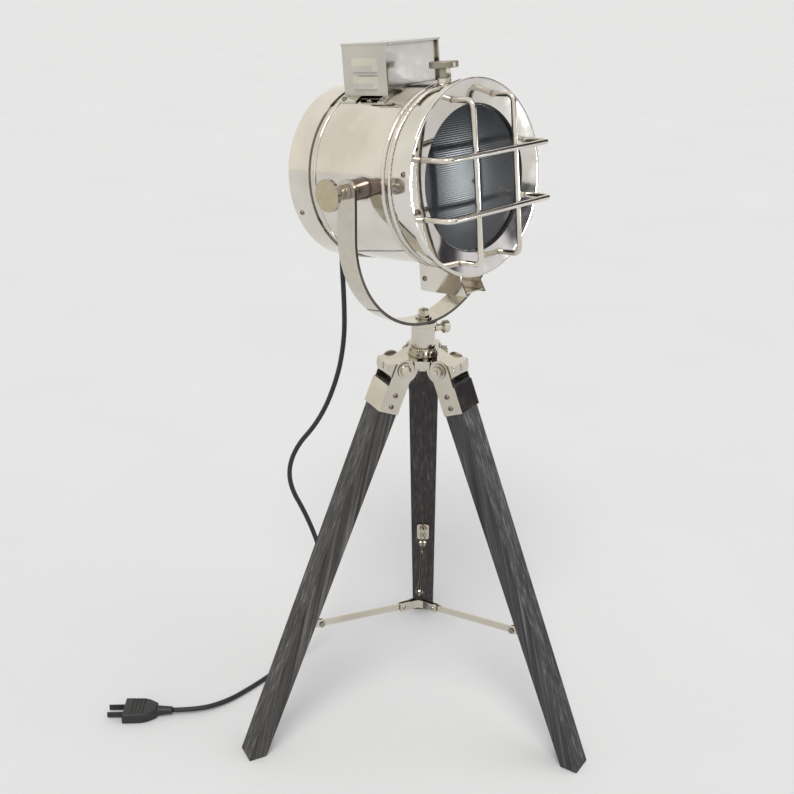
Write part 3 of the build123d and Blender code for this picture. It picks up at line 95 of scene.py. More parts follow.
CORD_RADIUS = 2.65 * MM
CORD_HANG = [
    (0.0, 106.21, 539.35),
    (0.0, 114.69, 520.13),
    (1.0, 118.01, 489.05),
    (3.1, 118.51, 465.05),
]
CORD_DROP = [
    (3.1, 118.51, 465.05),
    (5.2, 119.01, 441.05),
    (7.2, 121.0, 398.0),
    (4.0, 129.0, 351.0),
    (-8.0, 145.0, 300.0),
    (-29.0, 168.0, 262.0),
    (-33.0, 174.0, 222.0),
    (-18.0, 158.0, 178.0),
    (-8.5, 145.0, 130.0),
    (-12.0, 143.0, 85.0),
    (-25.0, 145.5, 42.0),
    (-50.0, 148.5, 11.0),
    (-81.0, 150.0, 2.65),
    (-117.0, 147.0, 2.65),
    (-153.0, 146.0, 3.65),
    (-185.0, 154.5, 6.0),
    (-205.0, 174.0, 6.0),
]
CORD_SIDES = 16
CORD_STEPS = 12
NEVER_ALONG = Vector((1, 0.2, 0))  # no cord starts out this way


def smooth_line(points):
    """The smooth line that a given row of points steers, as closely spaced points."""
    curve = bpy.data.curves.new("line", "CURVE")
    curve.dimensions = "3D"
    curve.resolution_u = CORD_STEPS
    spline = curve.splines.new("NURBS")
    spline.points.add(len(points) - 1)
    for place, point in zip(spline.points, points):
        place.co = (*(Vector(point) * MM + AXIS), 1)
    spline.order_u = 3
    spline.use_endpoint_u = True
    holder = bpy.data.objects.new("line", curve)
    mesh = bpy.data.meshes.new_from_object(holder)
    line = [vertex.co.copy() for vertex in mesh.vertices]
    bpy.data.objects.remove(holder)
    bpy.data.meshes.remove(mesh)
    return line


def new_object(name, vertices, faces, smooth=True):
    mesh = bpy.data.meshes.new(name)
    mesh.from_pydata([tuple(v) for v in vertices], [], faces)
    mesh.validate()
    for polygon in mesh.polygons:
        polygon.use_smooth = smooth
    thing = bpy.data.objects.new(name, mesh)
    bpy.context.scene.collection.objects.link(thing)
    return thing


def rings_along(line, radius, sides):
    """The corners of one ring round each point of a line, square to the line and without twist."""
    corners = []
    side_way = (line[1] - line[0]).cross(NEVER_ALONG).normalized()
    for i, here in enumerate(line):
        ahead = line[min(i + 1, len(line) - 1)] - line[max(i - 1, 0)]
        ahead.normalize()
        side_way = (side_way - ahead * side_way.dot(ahead)).normalized()
        other_way = ahead.cross(side_way)
        for k in range(sides):
            turn = 2 * math.pi * k / sides
            corners.append(here + (side_way * math.cos(turn) + other_way * math.sin(turn)) * radius)
    return corners


def tube_along(name, line, radius, sides):
    """A closed round tube along a line of points."""
    vertices = rings_along(line, radius, sides)
    faces = []
    for i in range(len(line) - 1):
        for k in range(sides):
            a, b = i * sides + k, i * sides + (k + 1) % sides
            faces.append((a, b, b + sides, a + sides))
    faces.append(tuple(reversed(range(sides))))
    faces.append(tuple(range(len(vertices) - sides, len(vertices))))
    return new_object(name, vertices, faces)


def line_length(line):
    return sum((b - a).length for a, b in zip(line, line[1:]))


hang_line = smooth_line(CORD_HANG)
drop_line = smooth_line(CORD_DROP)
cord_hang = tube_along("cord_upper", hang_line, CORD_RADIUS, CORD_SIDES)
cord_drop = tube_along("cord_lower", drop_line, CORD_RADIUS, CORD_SIDES)
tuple(hang_line[0])
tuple(hang_line[-1])
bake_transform(cord_hang)
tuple(drop_line[0])
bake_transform(cord_drop)
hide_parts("cord_hang")
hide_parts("cord_drop")
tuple(hang_line[0])
line_length(hang_line)
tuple(drop_line[0])
line_length(drop_line)


# Edges and small details on the solid pieces

LEGS = ("back", "left", "right")
WELD_REACH = 0.003 * MM
FLAT_ANGLE = math.radians(0.3)
EDGE_ANGLE = math.radians(28)
BODY_OF = {node: body for body, nodes in frame["record"]["behaviour"]["bodies"].items() for node in nodes}
SLOT_OF = {entry["node"]: entry["material_slot"] for entry in frame["record"]["subparts"]}


def joined_mesh(node):
    """A copy of a solid's surface with its faces joined and its flat parts in one face each."""
    form = bmesh.new()
    form.from_mesh(frame["nodes"][node].data)
    bmesh.ops.remove_doubles(form, verts=form.verts, dist=WELD_REACH)
    bmesh.ops.dissolve_limit(form, angle_limit=FLAT_ANGLE, verts=form.verts, edges=form.edges)
    return form


def stand_in(node, mesh, kind):
    """A smooth-shaded piece that takes a solid's place on its body."""
    for name in ("custom_normal", "sharp_face"):
        if name in mesh.attributes:
            mesh.attributes.remove(mesh.attributes[name])
    mesh.shade_smooth()
    mesh.set_sharp_from_angle(angle=EDGE_ANGLE)
    thing = bpy.data.objects.new(f"{node}_{kind}", mesh)
    bpy.context.scene.collection.objects.link(thing)
    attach(thing, BODY_OF[node])
    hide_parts(node)
    return thing


def softened(node, width):
    """Stands in for a solid, with each sharp edge rounded over by width."""
    form = joined_mesh(node)
    mesh = bpy.data.meshes.new(f"{node}_soft")
    form.to_mesh(mesh)
    form.free()
    thing = stand_in(node, mesh, "soft")
    bevel = thing.modifiers.new("rounded edges", "BEVEL")
    bevel.width = width
    bevel.segments = 2
    bevel.limit_method = "ANGLE"
    bevel.angle_limit = EDGE_ANGLE
    bevel.use_clamp_overlap = False
    bevel.harden_normals = True
    return thing


SHEET_EDGE = 0.12 * MM
MOULDED_EDGE = 0.2 * MM
WOOD_EDGE = 0.9 * MM
SOFT_EDGES = {
    "vent_box_lid": SHEET_EDGE, "vent_box_front": SHEET_EDGE, "lower_tray": SHEET_EDGE,
    "crown": SHEET_EDGE, "yoke_strap": SHEET_EDGE, "top_knob": MOULDED_EDGE,
    "stem_collar": SHEET_EDGE, "spreader_hub": SHEET_EDGE, "plug": MOULDED_EDGE,
}
for leg in LEGS:
    SOFT_EDGES[f"leg_{leg}_wood"] = WOOD_EDGE
    SOFT_EDGES[f"leg_{leg}_bracket"] = SHEET_EDGE
    SOFT_EDGES[f"leg_{leg}_clevis"] = SHEET_EDGE
    SOFT_EDGES[f"arm_{leg}"] = SHEET_EDGE

CROSSED = ("housing_screws", "collar_screws", "leg_back_screws", "leg_left_screws", "leg_right_screws")
RECESS_REACH = 1.5 * MM
RECESS_WIDTH = 0.75 * MM
RECESS_DEPTH = 1.0 * MM
RECESS_TURN = 0.7  # radians from one cross to the next
TOP_REACH = 0.02 * MM


def islands(form):
    """The separate pieces of a surface, each as a list of faces, always in the same order."""
    found = set()
    for start in form.faces:
        if start in found:
            continue
        found.add(start)
        group = [start]
        for face in group:
            for other in (other for edge in face.edges for other in edge.link_faces):
                if other not in found:
                    found.add(other)
                    group.append(other)
        yield group


def screw_top(faces):
    """The middle of a screw's flat top and the way it faces, away from its broad underside."""
    areas = {}
    for face in faces:
        key = tuple(round(part, 2) for part in face.normal)
        areas[key] = areas.get(key, 0) + face.calc_area()
    way = -Vector(max(areas, key=areas.get)).normalized()
    corners = dict.fromkeys(vertex for face in faces for vertex in face.verts)
    top = max(vertex.co.dot(way) for vertex in corners)
    rim = [vertex.co for vertex in corners if vertex.co.dot(way) > top - TOP_REACH]
    return sum(rim, Vector()) / len(rim), way


def cross_cutter(tops):
    """One object of crossed bars, a cross at each screw's top, each turned further than the last."""
    form = bmesh.new()
    for i, (middle, way) in enumerate(tops):
        turn = way.to_track_quat("Z", "Y").to_matrix().to_4x4() @ Matrix.Rotation(RECESS_TURN * i, 4, "Z")
        for long_axis in (0, 1):
            sizes = [RECESS_WIDTH, RECESS_WIDTH, 2 * RECESS_DEPTH]
            sizes[long_axis] = 2 * RECESS_REACH
            place = Matrix.Translation(middle) @ turn @ Matrix.Diagonal((*sizes, 1))
            bmesh.ops.create_cube(form, size=1, matrix=place)
    mesh = bpy.data.meshes.new("crosses")
    form.to_mesh(mesh)
    form.free()
    cutter = bpy.data.objects.new("crosses", mesh)
    bpy.context.scene.collection.objects.link(cutter)
    return cutter


def crossed(node):
    """Stands in for a group of screws, with a cross recess cut in each head."""
    form = joined_mesh(node)
    cutter = cross_cutter([screw_top(faces) for faces in islands(form)])
    mesh = bpy.data.meshes.new(f"{node}_crossed")
    form.to_mesh(mesh)
    form.free()
    holder = bpy.data.objects.new("holder", mesh)
    bpy.context.scene.collection.objects.link(holder)
    cut = holder.modifiers.new("recess", "BOOLEAN")
    cut.object = cutter
    cut.operation = "DIFFERENCE"
    cut.use_self = True
    ready = bpy.data.meshes.new_from_object(holder.evaluated_get(bpy.context.evaluated_depsgraph_get()))
    for spent in (holder, cutter):
        bpy.data.objects.remove(spent)
    return stand_in(node, ready, "crossed")


soft = {node: softened(node, width) for node, width in SOFT_EDGES.items()}
soft.update({node: crossed(node) for node in CROSSED})


# Building blocks of the materials

NOISE_LOW, NOISE_HIGH = 0.3, 0.7  # most of a noise lies between these
WHITE = (1.0, 1.0, 1.0)


def material(name):
    made = bpy.data.materials.new(name)
    made.use_nodes = True
    nodes = made.node_tree.nodes
    return made, nodes, made.node_tree.links, nodes["Principled BSDF"]


def shaded(colour, share):
    """A colour made darker, to a share of itself."""
    return tuple(share * part for part in colour)


def own_place(nodes, links, size, turn=(0, 0, 0)):
    """The piece's own coordinates, turned and counted in units of size along each axis."""
    place = nodes.new("ShaderNodeTexCoord")
    mapping = nodes.new("ShaderNodeMapping")
    mapping.vector_type = "TEXTURE"
    mapping.inputs["Rotation"].default_value = turn
    mapping.inputs["Scale"].default_value = size
    links.new(place.outputs["Object"], mapping.inputs["Vector"])
    return mapping.outputs["Vector"]


def noise(nodes, links, size, detail=4.0, turn=(0, 0, 0)):
    """Cloudy noise whose spots are about size long, in metres, one way or along each axis."""
    if isinstance(size, float):
        size = (size, size, size)
    texture = nodes.new("ShaderNodeTexNoise")
    texture.inputs["Scale"].default_value = 1.0
    texture.inputs["Detail"].default_value = detail
    links.new(own_place(nodes, links, size, turn), texture.inputs["Vector"])
    return texture.outputs["Fac"]


def ramp(nodes, links, source, *stops):
    """A colour ramp from (position, colour) stops."""
    node = nodes.new("ShaderNodeValToRGB")
    elements = node.color_ramp.elements
    while len(elements) < len(stops):
        elements.new(0.5)
    for element, (position, colour) in zip(elements, stops):
        element.position = position
        element.color = (*colour, 1)
    links.new(source, node.inputs["Fac"])
    return node.outputs["Color"]


def two_tone(nodes, links, source, dark, light):
    """A colour that runs from dark to light with a noise."""
    return ramp(nodes, links, source, (NOISE_LOW, dark), (NOISE_HIGH, light))


def spread(nodes, links, source, low, high, start=NOISE_LOW, end=NOISE_HIGH):
    """A number that runs from low to high as source does from start to end."""
    node = nodes.new("ShaderNodeMapRange")
    node.inputs["From Min"].default_value = start
    node.inputs["From Max"].default_value = end
    node.inputs["To Min"].default_value = low
    node.inputs["To Max"].default_value = high
    links.new(source, node.inputs["Value"])
    return node.outputs["Result"]


def bump(nodes, links, source, height, under=None):
    """A normal raised by source times height, in metres, on top of another normal."""
    node = nodes.new("ShaderNodeBump")
    node.inputs["Distance"].default_value = height
    links.new(source, node.inputs["Height"])
    if under:
        links.new(under, node.inputs["Normal"])
    return node.outputs["Normal"]


def mixed(nodes, links, amount, first, second, blend="MIX"):
    """Two colours mixed by a number; the second is another node's, or the same all over."""
    node = nodes.new("ShaderNodeMix")
    node.data_type = "RGBA"
    node.blend_type = blend
    links.new(amount, node.inputs["Factor"])
    links.new(first, node.inputs["A"])
    if isinstance(second, tuple):
        node.inputs["B"].default_value = second
    else:
        links.new(second, node.inputs["B"])
    return node.outputs["Result"]


def worked_out(nodes, links, operation, *sources):
    """A number worked out from one or two others."""
    node = nodes.new("ShaderNodeMath")
    node.operation = operation
    for source, socket in zip(sources, node.inputs):
        links.new(source, socket)
    return node.outputs["Value"]


def combined(nodes, links, operation, *sources):
    """A vector worked out from one or two others; a number counts alike along each axis."""
    node = nodes.new("ShaderNodeVectorMath")
    node.operation = operation
    for source, socket in zip(sources, node.inputs):
        links.new(source, socket)
    return node.outputs["Vector"]


def toward(nodes, links, direction, way):
    """How far a direction agrees with a way, from -1 to 1."""
    product = nodes.new("ShaderNodeVectorMath")
    product.operation = "DOT_PRODUCT"
    product.inputs[1].default_value = way
    links.new(direction, product.inputs[0])
    return product.outputs["Value"]


# Metals. Tones are a dark and a light one, and gloss is the least and the most roughness.

NOOK_REACH = 3.5 * MM
NOOK_SAMPLES = 6
TINT_SIZE = 50 * MM
SMUDGE_SIZE = 14 * MM
WAVE_SIZE = 35 * MM
FAINT_WAVE = 0.06 * MM
SCRATCH_SIZE = 1.2 * MM
SCRATCH_DEPTH = 0.0015 * MM
# Painted shade: the corners and grooves of the metals are darkened towards this dark grey.
NOOK_SHADE_COLOUR = (0.18, 0.165, 0.155)
SHADED_BELOW, UNSHADED_ABOVE = 0.35, 0.80
TINT_LOW, TINT_HIGH = 0.35, 0.65


def nook(nodes, links, reach):
    """How open a place is: near 0 deep in a corner or groove, 1 on a plain face."""
    shade = nodes.new("ShaderNodeAmbientOcclusion")
    shade.samples = NOOK_SAMPLES
    shade.inputs["Distance"].default_value = reach
    return shade.outputs["AO"]


def metal(name, tones, gloss, wave=FAINT_WAVE, reach=NOOK_REACH):
    """Polished sheet metal: painted shade that darkens its corners and grooves, smudges in the gloss and a
    faint waviness.
    """
    made, nodes, links, shader = material(name)
    shader.inputs["Metallic"].default_value = 1.0
    dark, light = tones
    tint = noise(nodes, links, TINT_SIZE, detail=3.0)
    unshaded = ramp(nodes, links, tint, (TINT_LOW, dark), (TINT_HIGH, light))
    # Painted shade: the base colour darkens where the ambient occlusion finds a corner or groove nearby.
    nook_shade = ramp(nodes, links, nook(nodes, links, reach), (SHADED_BELOW, NOOK_SHADE_COLOUR), (UNSHADED_ABOVE, WHITE))
    amount = spread(nodes, links, tint, 0.8, 1.0)
    links.new(mixed(nodes, links, amount, unshaded, nook_shade, "MULTIPLY"), shader.inputs["Base Color"])
    smudge = noise(nodes, links, SMUDGE_SIZE, detail=8.0)
    links.new(spread(nodes, links, smudge, *gloss), shader.inputs["Roughness"])
    ripple = bump(nodes, links, noise(nodes, links, WAVE_SIZE, detail=1.0), wave)
    scratches = noise(nodes, links, SCRATCH_SIZE, detail=3.0)
    links.new(bump(nodes, links, scratches, SCRATCH_DEPTH, ripple), shader.inputs["Normal"])
    return made


BRUSH_SIZE = 6 * MM
END_FROM, END_FULLY = 0.90, 0.97
POLISHED_ROUGHNESS, BRUSHED_ROUGHNESS = 0.10, 0.42


def end_toned(name, bright, end_tone, way):
    """Polished metal whose faces that look along a way are brushed rough and take another tone: a satin
    tone on the knob faces, painted shade on the strap's edges.
    """
    made, nodes, links, shader = material(name)
    shader.inputs["Metallic"].default_value = 1.0
    normal = nodes.new("ShaderNodeTexCoord").outputs["Normal"]
    facing = worked_out(nodes, links, "ABSOLUTE", toward(nodes, links, normal, way))
    end_share = spread(nodes, links, facing, 0.0, 1.0, END_FROM, END_FULLY)
    smudge = noise(nodes, links, BRUSH_SIZE, detail=5.0)
    plain = two_tone(nodes, links, smudge, bright, shaded(bright, 0.9))
    end_colour = two_tone(nodes, links, smudge, end_tone, shaded(end_tone, 0.88))
    links.new(mixed(nodes, links, end_share, plain, end_colour), shader.inputs["Base Color"])
    rough = spread(nodes, links, end_share, POLISHED_ROUGHNESS, BRUSHED_ROUGHNESS, 0.0, 1.0)
    links.new(rough, shader.inputs["Roughness"])
    scratches = noise(nodes, links, SCRATCH_SIZE, detail=3.0)
    links.new(bump(nodes, links, scratches, 2 * SCRATCH_DEPTH), shader.inputs["Normal"])
    return made


NICKEL_TONES = (0.66, 0.62, 0.555), (0.77, 0.73, 0.665)
BEZEL_TONES = (0.64, 0.61, 0.56), (0.77, 0.74, 0.69)
# Screw tones: painted dark reflection, darker than the nickel for the dark surroundings the screw domes
# mirror.
SCREW_DARKENED_TONES = (0.24, 0.21, 0.18), (0.34, 0.30, 0.26)
SATIN_TONES = (0.30, 0.275, 0.215), (0.38, 0.35, 0.285)
# Trunnion-boss tones: painted dark reflection, standing in for the dark surroundings the bosses mirror.
BOSS_DARKENED_TONES = (0.15, 0.12, 0.115), (0.24, 0.20, 0.19)
STAND_TONES = (0.56, 0.52, 0.44), (0.66, 0.62, 0.54)
VENT_TONES = (0.58, 0.555, 0.49), (0.68, 0.65, 0.58)
INNER_TONES = (0.5, 0.5, 0.5), (0.6, 0.6, 0.6)
REFLECTOR_TONES = (0.72, 0.72, 0.72), (0.8, 0.8, 0.8)
# The strap's edge tone is painted shade, a near-black line along the strap's edges.
STRAP_FACE, STRAP_EDGE_SHADE = (0.64, 0.60, 0.515), (0.11, 0.095, 0.085)
KNOB_SIDE, KNOB_FACE = (0.50, 0.46, 0.44), (0.56, 0.49, 0.35)
POLISHED = (0.05, 0.13)

nickel = metal("nickel", NICKEL_TONES, POLISHED)
# The drum, vent box and bezel spread their painted shade further, which also lays a painted contact shadow
# of the vent box on the drum.
drum_nickel = metal("drum_nickel", NICKEL_TONES, POLISHED, reach=8 * MM)
stand_nickel = metal("stand_nickel", STAND_TONES, POLISHED)
vent_nickel = metal("vent_nickel", VENT_TONES, (0.08, 0.18), wave=0.10 * MM, reach=9 * MM)
bezel_metal = metal("bezel_metal", BEZEL_TONES, (0.04, 0.08), wave=0.22 * MM, reach=6 * MM)
# Painted reflection: the screws are darkened for the dark surroundings their domes mirror.
darkened_screw_metal = metal("darkened_screw_metal", SCREW_DARKENED_TONES, (0.12, 0.24))
satin_metal = metal("satin_metal", SATIN_TONES, (0.28, 0.42))
# Painted reflection: the trunnion bosses are darkened for the dark surroundings they mirror.
darkened_boss_metal = metal("darkened_boss_metal", BOSS_DARKENED_TONES, (0.12, 0.22))
inner_steel = metal("inner_steel", INNER_TONES, (0.25, 0.4))
reflector_metal = metal("reflector_metal", REFLECTOR_TONES, (0.08, 0.16))
# Painted shade: the strap's edges, which face along y, are painted near black.
strap_nickel = end_toned("strap_nickel", STRAP_FACE, STRAP_EDGE_SHADE, Vector((0, 1, 0)))
knob_metal = end_toned("knob_metal", KNOB_SIDE, KNOB_FACE, Vector((1, 0, 0)))


# Rubber, plastic and ceramic

RUBBER_TONES = (0.012, 0.012, 0.013), (0.022, 0.022, 0.024)
PLASTIC_TONES = (0.013, 0.013, 0.014), (0.024, 0.024, 0.026)
CERAMIC_TONES = (0.72, 0.71, 0.68), (0.8, 0.79, 0.76)
DULL_HEIGHT = 0.1 * MM


def dull(name, tones, gloss, size):
    """A plain coloured surface with a slight change of tone and gloss, in spots of that size."""
    made, nodes, links, shader = material(name)
    tone = noise(nodes, links, size)
    links.new(two_tone(nodes, links, tone, *tones), shader.inputs["Base Color"])
    links.new(spread(nodes, links, tone, *gloss), shader.inputs["Roughness"])
    pebbles = noise(nodes, links, size / 8, detail=6.0)
    links.new(bump(nodes, links, pebbles, DULL_HEIGHT), shader.inputs["Normal"])
    return made


rubber = dull("rubber", RUBBER_TONES, (0.42, 0.6), 11 * MM)
plug_plastic = dull("plug_plastic", PLASTIC_TONES, (0.4, 0.55), 8 * MM)
ceramic = dull("ceramic", CERAMIC_TONES, (0.25, 0.4), 16 * MM)


# Stained wood. Each leg's tint is painted light and shade: the back leg darkest, the left leg lightest,
# the right one a little bluer; the grain runs along the leg. Turns are in degrees.

LEG_TURNS = {"back": 41, "left": 161, "right": 281}
LEG_LIGHT_AND_SHADE = {"back": (0.42, 0.34, 0.335), "left": (0.92, 0.86, 0.82), "right": (0.80, 0.78, 0.84)}
LEG_SPLAY = 13
BAND_SIZE = (9 * MM, 9 * MM, 220 * MM)
GRAIN_SIZE = (2.6 * MM, 2.6 * MM, 160 * MM)
PORE_SIZE = (0.7 * MM, 0.7 * MM, 22 * MM)
GRAIN_SHADES = (0.32, 0.026), (0.46, 0.062), (0.58, 0.104), (0.68, 0.250)
DARK_BAND = (0.50, 0.47, 0.46)
DARK_PORE = (0.35, 0.33, 0.32)
GRAIN_HEIGHT = 0.5 * MM
PORE_HEIGHT = 0.4 * MM


def stained_wood(name, turn, tone):
    """Grey-brown stained wood with its grain along a leg that leans out at the given turn."""
    made, nodes, links, shader = material(name)
    lean = (0, -math.radians(LEG_SPLAY), math.radians(turn))
    bands = noise(nodes, links, BAND_SIZE, detail=3.0, turn=lean)
    grain = noise(nodes, links, GRAIN_SIZE, detail=6.0, turn=lean)
    pores = noise(nodes, links, PORE_SIZE, detail=3.0, turn=lean)
    # The leg's tint, painted light and shade, darkens or lightens every grain shade.
    base = ramp(nodes, links, grain, *((stop, shaded(tone, share)) for stop, share in GRAIN_SHADES))
    amount = spread(nodes, links, bands, 0.9, 1.0)
    band_shade = ramp(nodes, links, bands, (0.34, DARK_BAND), (0.62, WHITE))
    base = mixed(nodes, links, amount, base, band_shade, "MULTIPLY")
    pore_shade = ramp(nodes, links, pores, (0.33, DARK_PORE), (0.44, WHITE))
    base = mixed(nodes, links, amount, base, pore_shade, "MULTIPLY")
    links.new(base, shader.inputs["Base Color"])
    links.new(spread(nodes, links, grain, 0.62, 0.46), shader.inputs["Roughness"])
    raised = bump(nodes, links, grain, GRAIN_HEIGHT)
    links.new(bump(nodes, links, pores, PORE_HEIGHT, raised), shader.inputs["Normal"])
    return made


leg_woods = {leg: stained_wood(f"wood_{leg}", LEG_TURNS[leg], LEG_LIGHT_AND_SHADE[leg]) for leg in LEGS}


# Glass. The lens is dark and pressed with fine level ribs, which lean with the head.

RIB_SPACING = 1.9 * MM
RIB_SLOPE = 0.07
HEAD_TIP = math.radians(6.2)
LENS_TONES = (0.014, 0.017, 0.024), (0.022, 0.026, 0.034)
BULB_TONES = (0.86, 0.85, 0.82), (0.93, 0.92, 0.90)


def ribbed_normal(nodes, links):
    """The surface's normal, rocked up and down by level ribs across the lens."""
    one_radian = RIB_SPACING / (2 * math.pi)
    split = nodes.new("ShaderNodeSeparateXYZ")
    place = own_place(nodes, links, (one_radian, one_radian, one_radian), (-HEAD_TIP, 0, 0))
    links.new(place, split.inputs["Vector"])
    rock = worked_out(nodes, links, "SINE", split.outputs["Z"])
    up = nodes.new("ShaderNodeVectorTransform")
    up.vector_type = "VECTOR"
    up.convert_from, up.convert_to = "OBJECT", "WORLD"
    up.inputs["Vector"].default_value = (0, RIB_SLOPE * math.sin(HEAD_TIP), RIB_SLOPE * math.cos(HEAD_TIP))
    lean = combined(nodes, links, "MULTIPLY", up.outputs["Vector"], rock)
    plain = nodes.new("ShaderNodeNewGeometry").outputs["Normal"]
    return combined(nodes, links, "NORMALIZE", combined(nodes, links, "ADD", plain, lean))


def ribbed_glass():
    """Dark smoky glass, pressed with fine level ribs."""
    made, nodes, links, shader = material("ribbed_glass")
    cloud = noise(nodes, links, 50 * MM, detail=2.0)
    links.new(two_tone(nodes, links, cloud, *LENS_TONES), shader.inputs["Base Color"])
    shader.inputs["Transmission Weight"].default_value = 0.25
    shader.inputs["IOR"].default_value = 1.5
    links.new(spread(nodes, links, cloud, 0.25, 0.29), shader.inputs["Roughness"])
    links.new(ribbed_normal(nodes, links), shader.inputs["Normal"])
    return made


def bulb_glass():
    """Frosted glass that lets half of the light through."""
    made, nodes, links, shader = material("bulb_glass")
    cloud = noise(nodes, links, 20 * MM, detail=2.0)
    links.new(two_tone(nodes, links, cloud, *BULB_TONES), shader.inputs["Base Color"])
    shader.inputs["Transmission Weight"].default_value = 0.5
    links.new(spread(nodes, links, cloud, 0.3, 0.4), shader.inputs["Roughness"])
    return made


lens_glass = ribbed_glass()
frosted_glass = bulb_glass()


# Which piece has which finish: its own, or its slot's, or else the nickel of the head or the stand

OWN_FINISHES = {
    "front_bezel": bezel_metal, "trunnion_bosses": darkened_boss_metal, "top_knob": satin_metal,
    "drum_shell": drum_nickel, "rear_cap": drum_nickel, "yoke_strap": strap_nickel,
    "vent_box_body": vent_nickel, "vent_box_front": vent_nickel, "vent_box_lid": vent_nickel,
    "tilt_knob_left": knob_metal, "tilt_knob_right": knob_metal,
    "leg_pivot_bolts": stand_nickel, "leg_pivot_nuts": stand_nickel,
}
for leg, wood in leg_woods.items():
    OWN_FINISHES[f"leg_{leg}_wood"] = wood
SLOT_FINISHES = {
    "cord_cover": rubber, "plug_body": plug_plastic, "lamp_holder": ceramic, "gasket": rubber,
    "inner_steel": inner_steel, "screws": darkened_screw_metal, "reflector": reflector_metal,
    "lens_glass": lens_glass, "bulb_glass": frosted_glass,
}


def finish_of(node):
    """The material of a solid, or of the piece that stands for it."""
    if node in OWN_FINISHES:
        return OWN_FINISHES[node]
    if SLOT_OF[node] in SLOT_FINISHES:
        return SLOT_FINISHES[SLOT_OF[node]]
    return nickel if BODY_OF[node] == "head" else stand_nickel


for node in SLOT_OF:
    thing = soft.get(node) or frame["nodes"][node]
    thing.data.materials.clear()
    thing.data.materials.append(finish_of(node))
for thing in (cord_hang, cord_drop):
    thing.data.materials.append(rubber)


# Floor and background

FLOOR_SIZE = 60.0
FLOOR_TONES = (0.84, 0.84, 0.835), (0.86, 0.86, 0.855)
BACKDROP = (0.80, 0.80, 0.80, 1)
SKY_LIGHT = (0.97, 0.98, 1.0, 1)
SKY_STRENGTH = 0.55
WALL_TURN, WALL_RISE = 55, 14
ROOM_STOPS = (0.60, (0.93, 0.91, 0.85)), (0.70, (0.45, 0.43, 0.46)), (0.78, (0.050, 0.045, 0.055))
WINDOW_TURN, WINDOW_RISE = 46.5, 3
WINDOW_FROM, WINDOW_FULLY = 0.990, 0.996
WINDOW_COLOUR = (0.80, 0.80, 0.86, 1)


def make_floor():
    """A wide pale sheet of paper."""
    half = FLOOR_SIZE / 2
    corners = [(-half, -half, 0), (half, -half, 0), (half, half, 0), (-half, half, 0)]
    floor = new_object("floor", corners, [(0, 1, 2, 3)], smooth=False)
    made, nodes, links, shader = material("floor_paper")
    tone = noise(nodes, links, 300 * MM)
    links.new(two_tone(nodes, links, tone, *FLOOR_TONES), shader.inputs["Base Color"])
    shader.inputs["Roughness"].default_value = 0.9
    floor.data.materials.append(made)


def way_to(turn, rise):
    """The way that leans rise degrees up at turn degrees from straight ahead of the lens."""
    turn, rise = math.radians(turn), math.radians(rise)
    return Vector((math.sin(turn) * math.cos(rise), -math.cos(turn) * math.cos(rise), math.sin(rise)))


def mirrored_room(nodes, links):
    """What metal and glass mirror: a cream room with one dark wall that has a window."""
    direction = nodes.new("ShaderNodeTexCoord").outputs["Generated"]
    to_wall = toward(nodes, links, direction, way_to(WALL_TURN, WALL_RISE))
    room = ramp(nodes, links, to_wall, *ROOM_STOPS)
    to_window = toward(nodes, links, direction, way_to(WINDOW_TURN, WINDOW_RISE))
    at_window = spread(nodes, links, to_window, 0.0, 1.0, WINDOW_FROM, WINDOW_FULLY)
    return mixed(nodes, links, at_window, room, WINDOW_COLOUR)


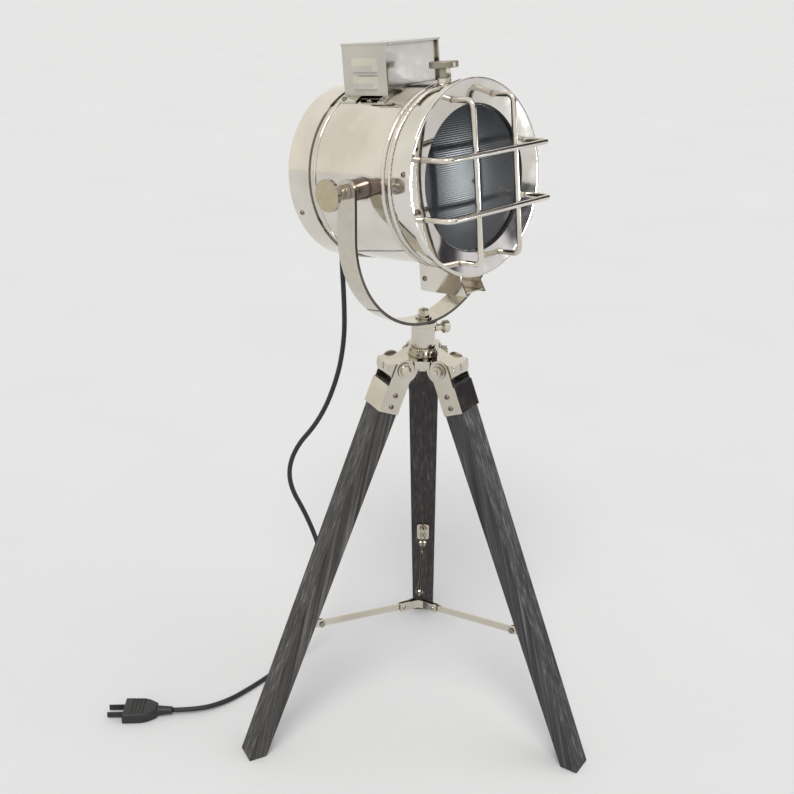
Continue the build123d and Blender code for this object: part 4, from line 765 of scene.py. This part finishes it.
def make_world():
    """Soft even light; the camera sees a plain backdrop there, and metal and glass a room."""
    world = bpy.data.worlds.new("studio")
    world.use_nodes = True
    nodes, links = world.node_tree.nodes, world.node_tree.links
    nodes.clear()
    light = nodes.new("ShaderNodeBackground")
    light.inputs["Color"].default_value = SKY_LIGHT
    light.inputs["Strength"].default_value = SKY_STRENGTH
    rays = nodes.new("ShaderNodeLightPath").outputs
    seen = nodes.new("ShaderNodeBackground")
    room = mirrored_room(nodes, links)
    links.new(mixed(nodes, links, rays["Is Camera Ray"], room, BACKDROP), seen.inputs["Color"])
    mirrored = worked_out(nodes, links, "MAXIMUM", rays["Is Camera Ray"], rays["Is Glossy Ray"])
    either = nodes.new("ShaderNodeMixShader")
    seen_rays = worked_out(nodes, links, "MAXIMUM", mirrored, rays["Is Transmission Ray"])
    links.new(seen_rays, either.inputs["Fac"])
    links.new(light.outputs["Background"], either.inputs[1])
    links.new(seen.outputs["Background"], either.inputs[2])
    out = nodes.new("ShaderNodeOutputWorld")
    links.new(either.outputs["Shader"], out.inputs["Surface"])
    bpy.context.scene.world = world


# Lamps

WARM_LIGHT = (1.0, 0.98, 0.95)
COOL_LIGHT = (0.90, 0.98, 1.0)
WHITE_LIGHT = (1, 1, 1)


def aim_lamp(name, data, place, aim):
    lamp = bpy.data.objects.new(name, data)
    way = Vector(aim) - Vector(place)
    lamp.matrix_world = Matrix.Translation(place) @ way.to_track_quat("-Z", "Y").to_matrix().to_4x4()
    bpy.context.scene.collection.objects.link(lamp)


def area_lamp(name, place, aim, size, beam, power, colour):
    """A rectangular lamp whose light stays in a beam of that many degrees."""
    data = bpy.data.lights.new(name, "AREA")
    data.shape = "RECTANGLE"
    data.size, data.size_y = size
    data.spread = math.radians(beam)
    data.energy = power
    data.color = colour
    aim_lamp(name, data, place, aim)


def sun_lamp(name, place, strength, angle, colour):
    """Far light from the side that a place is on, as wide in the sky as angle in degrees."""
    data = bpy.data.lights.new(name, "SUN")
    data.energy = strength
    data.angle = math.radians(angle)
    data.color = colour
    aim_lamp(name, data, place, (0, 0, 0))


make_floor()
make_world()
sun_lamp("key", place=(-1.2, -0.9, 2.2), strength=1.1, angle=24, colour=WARM_LIGHT)
sun_lamp("fill", place=(0.9, -1.2, 1.6), strength=0.45, angle=50, colour=WHITE_LIGHT)
area_lamp("front_box", place=(1.15, -1.29, 0.51), aim=(0, -0.08, 0.60), size=(0.10, 0.12),
          beam=40, power=0.3, colour=COOL_LIGHT)

bpy.context.scene.view_settings.view_transform = "Standard"
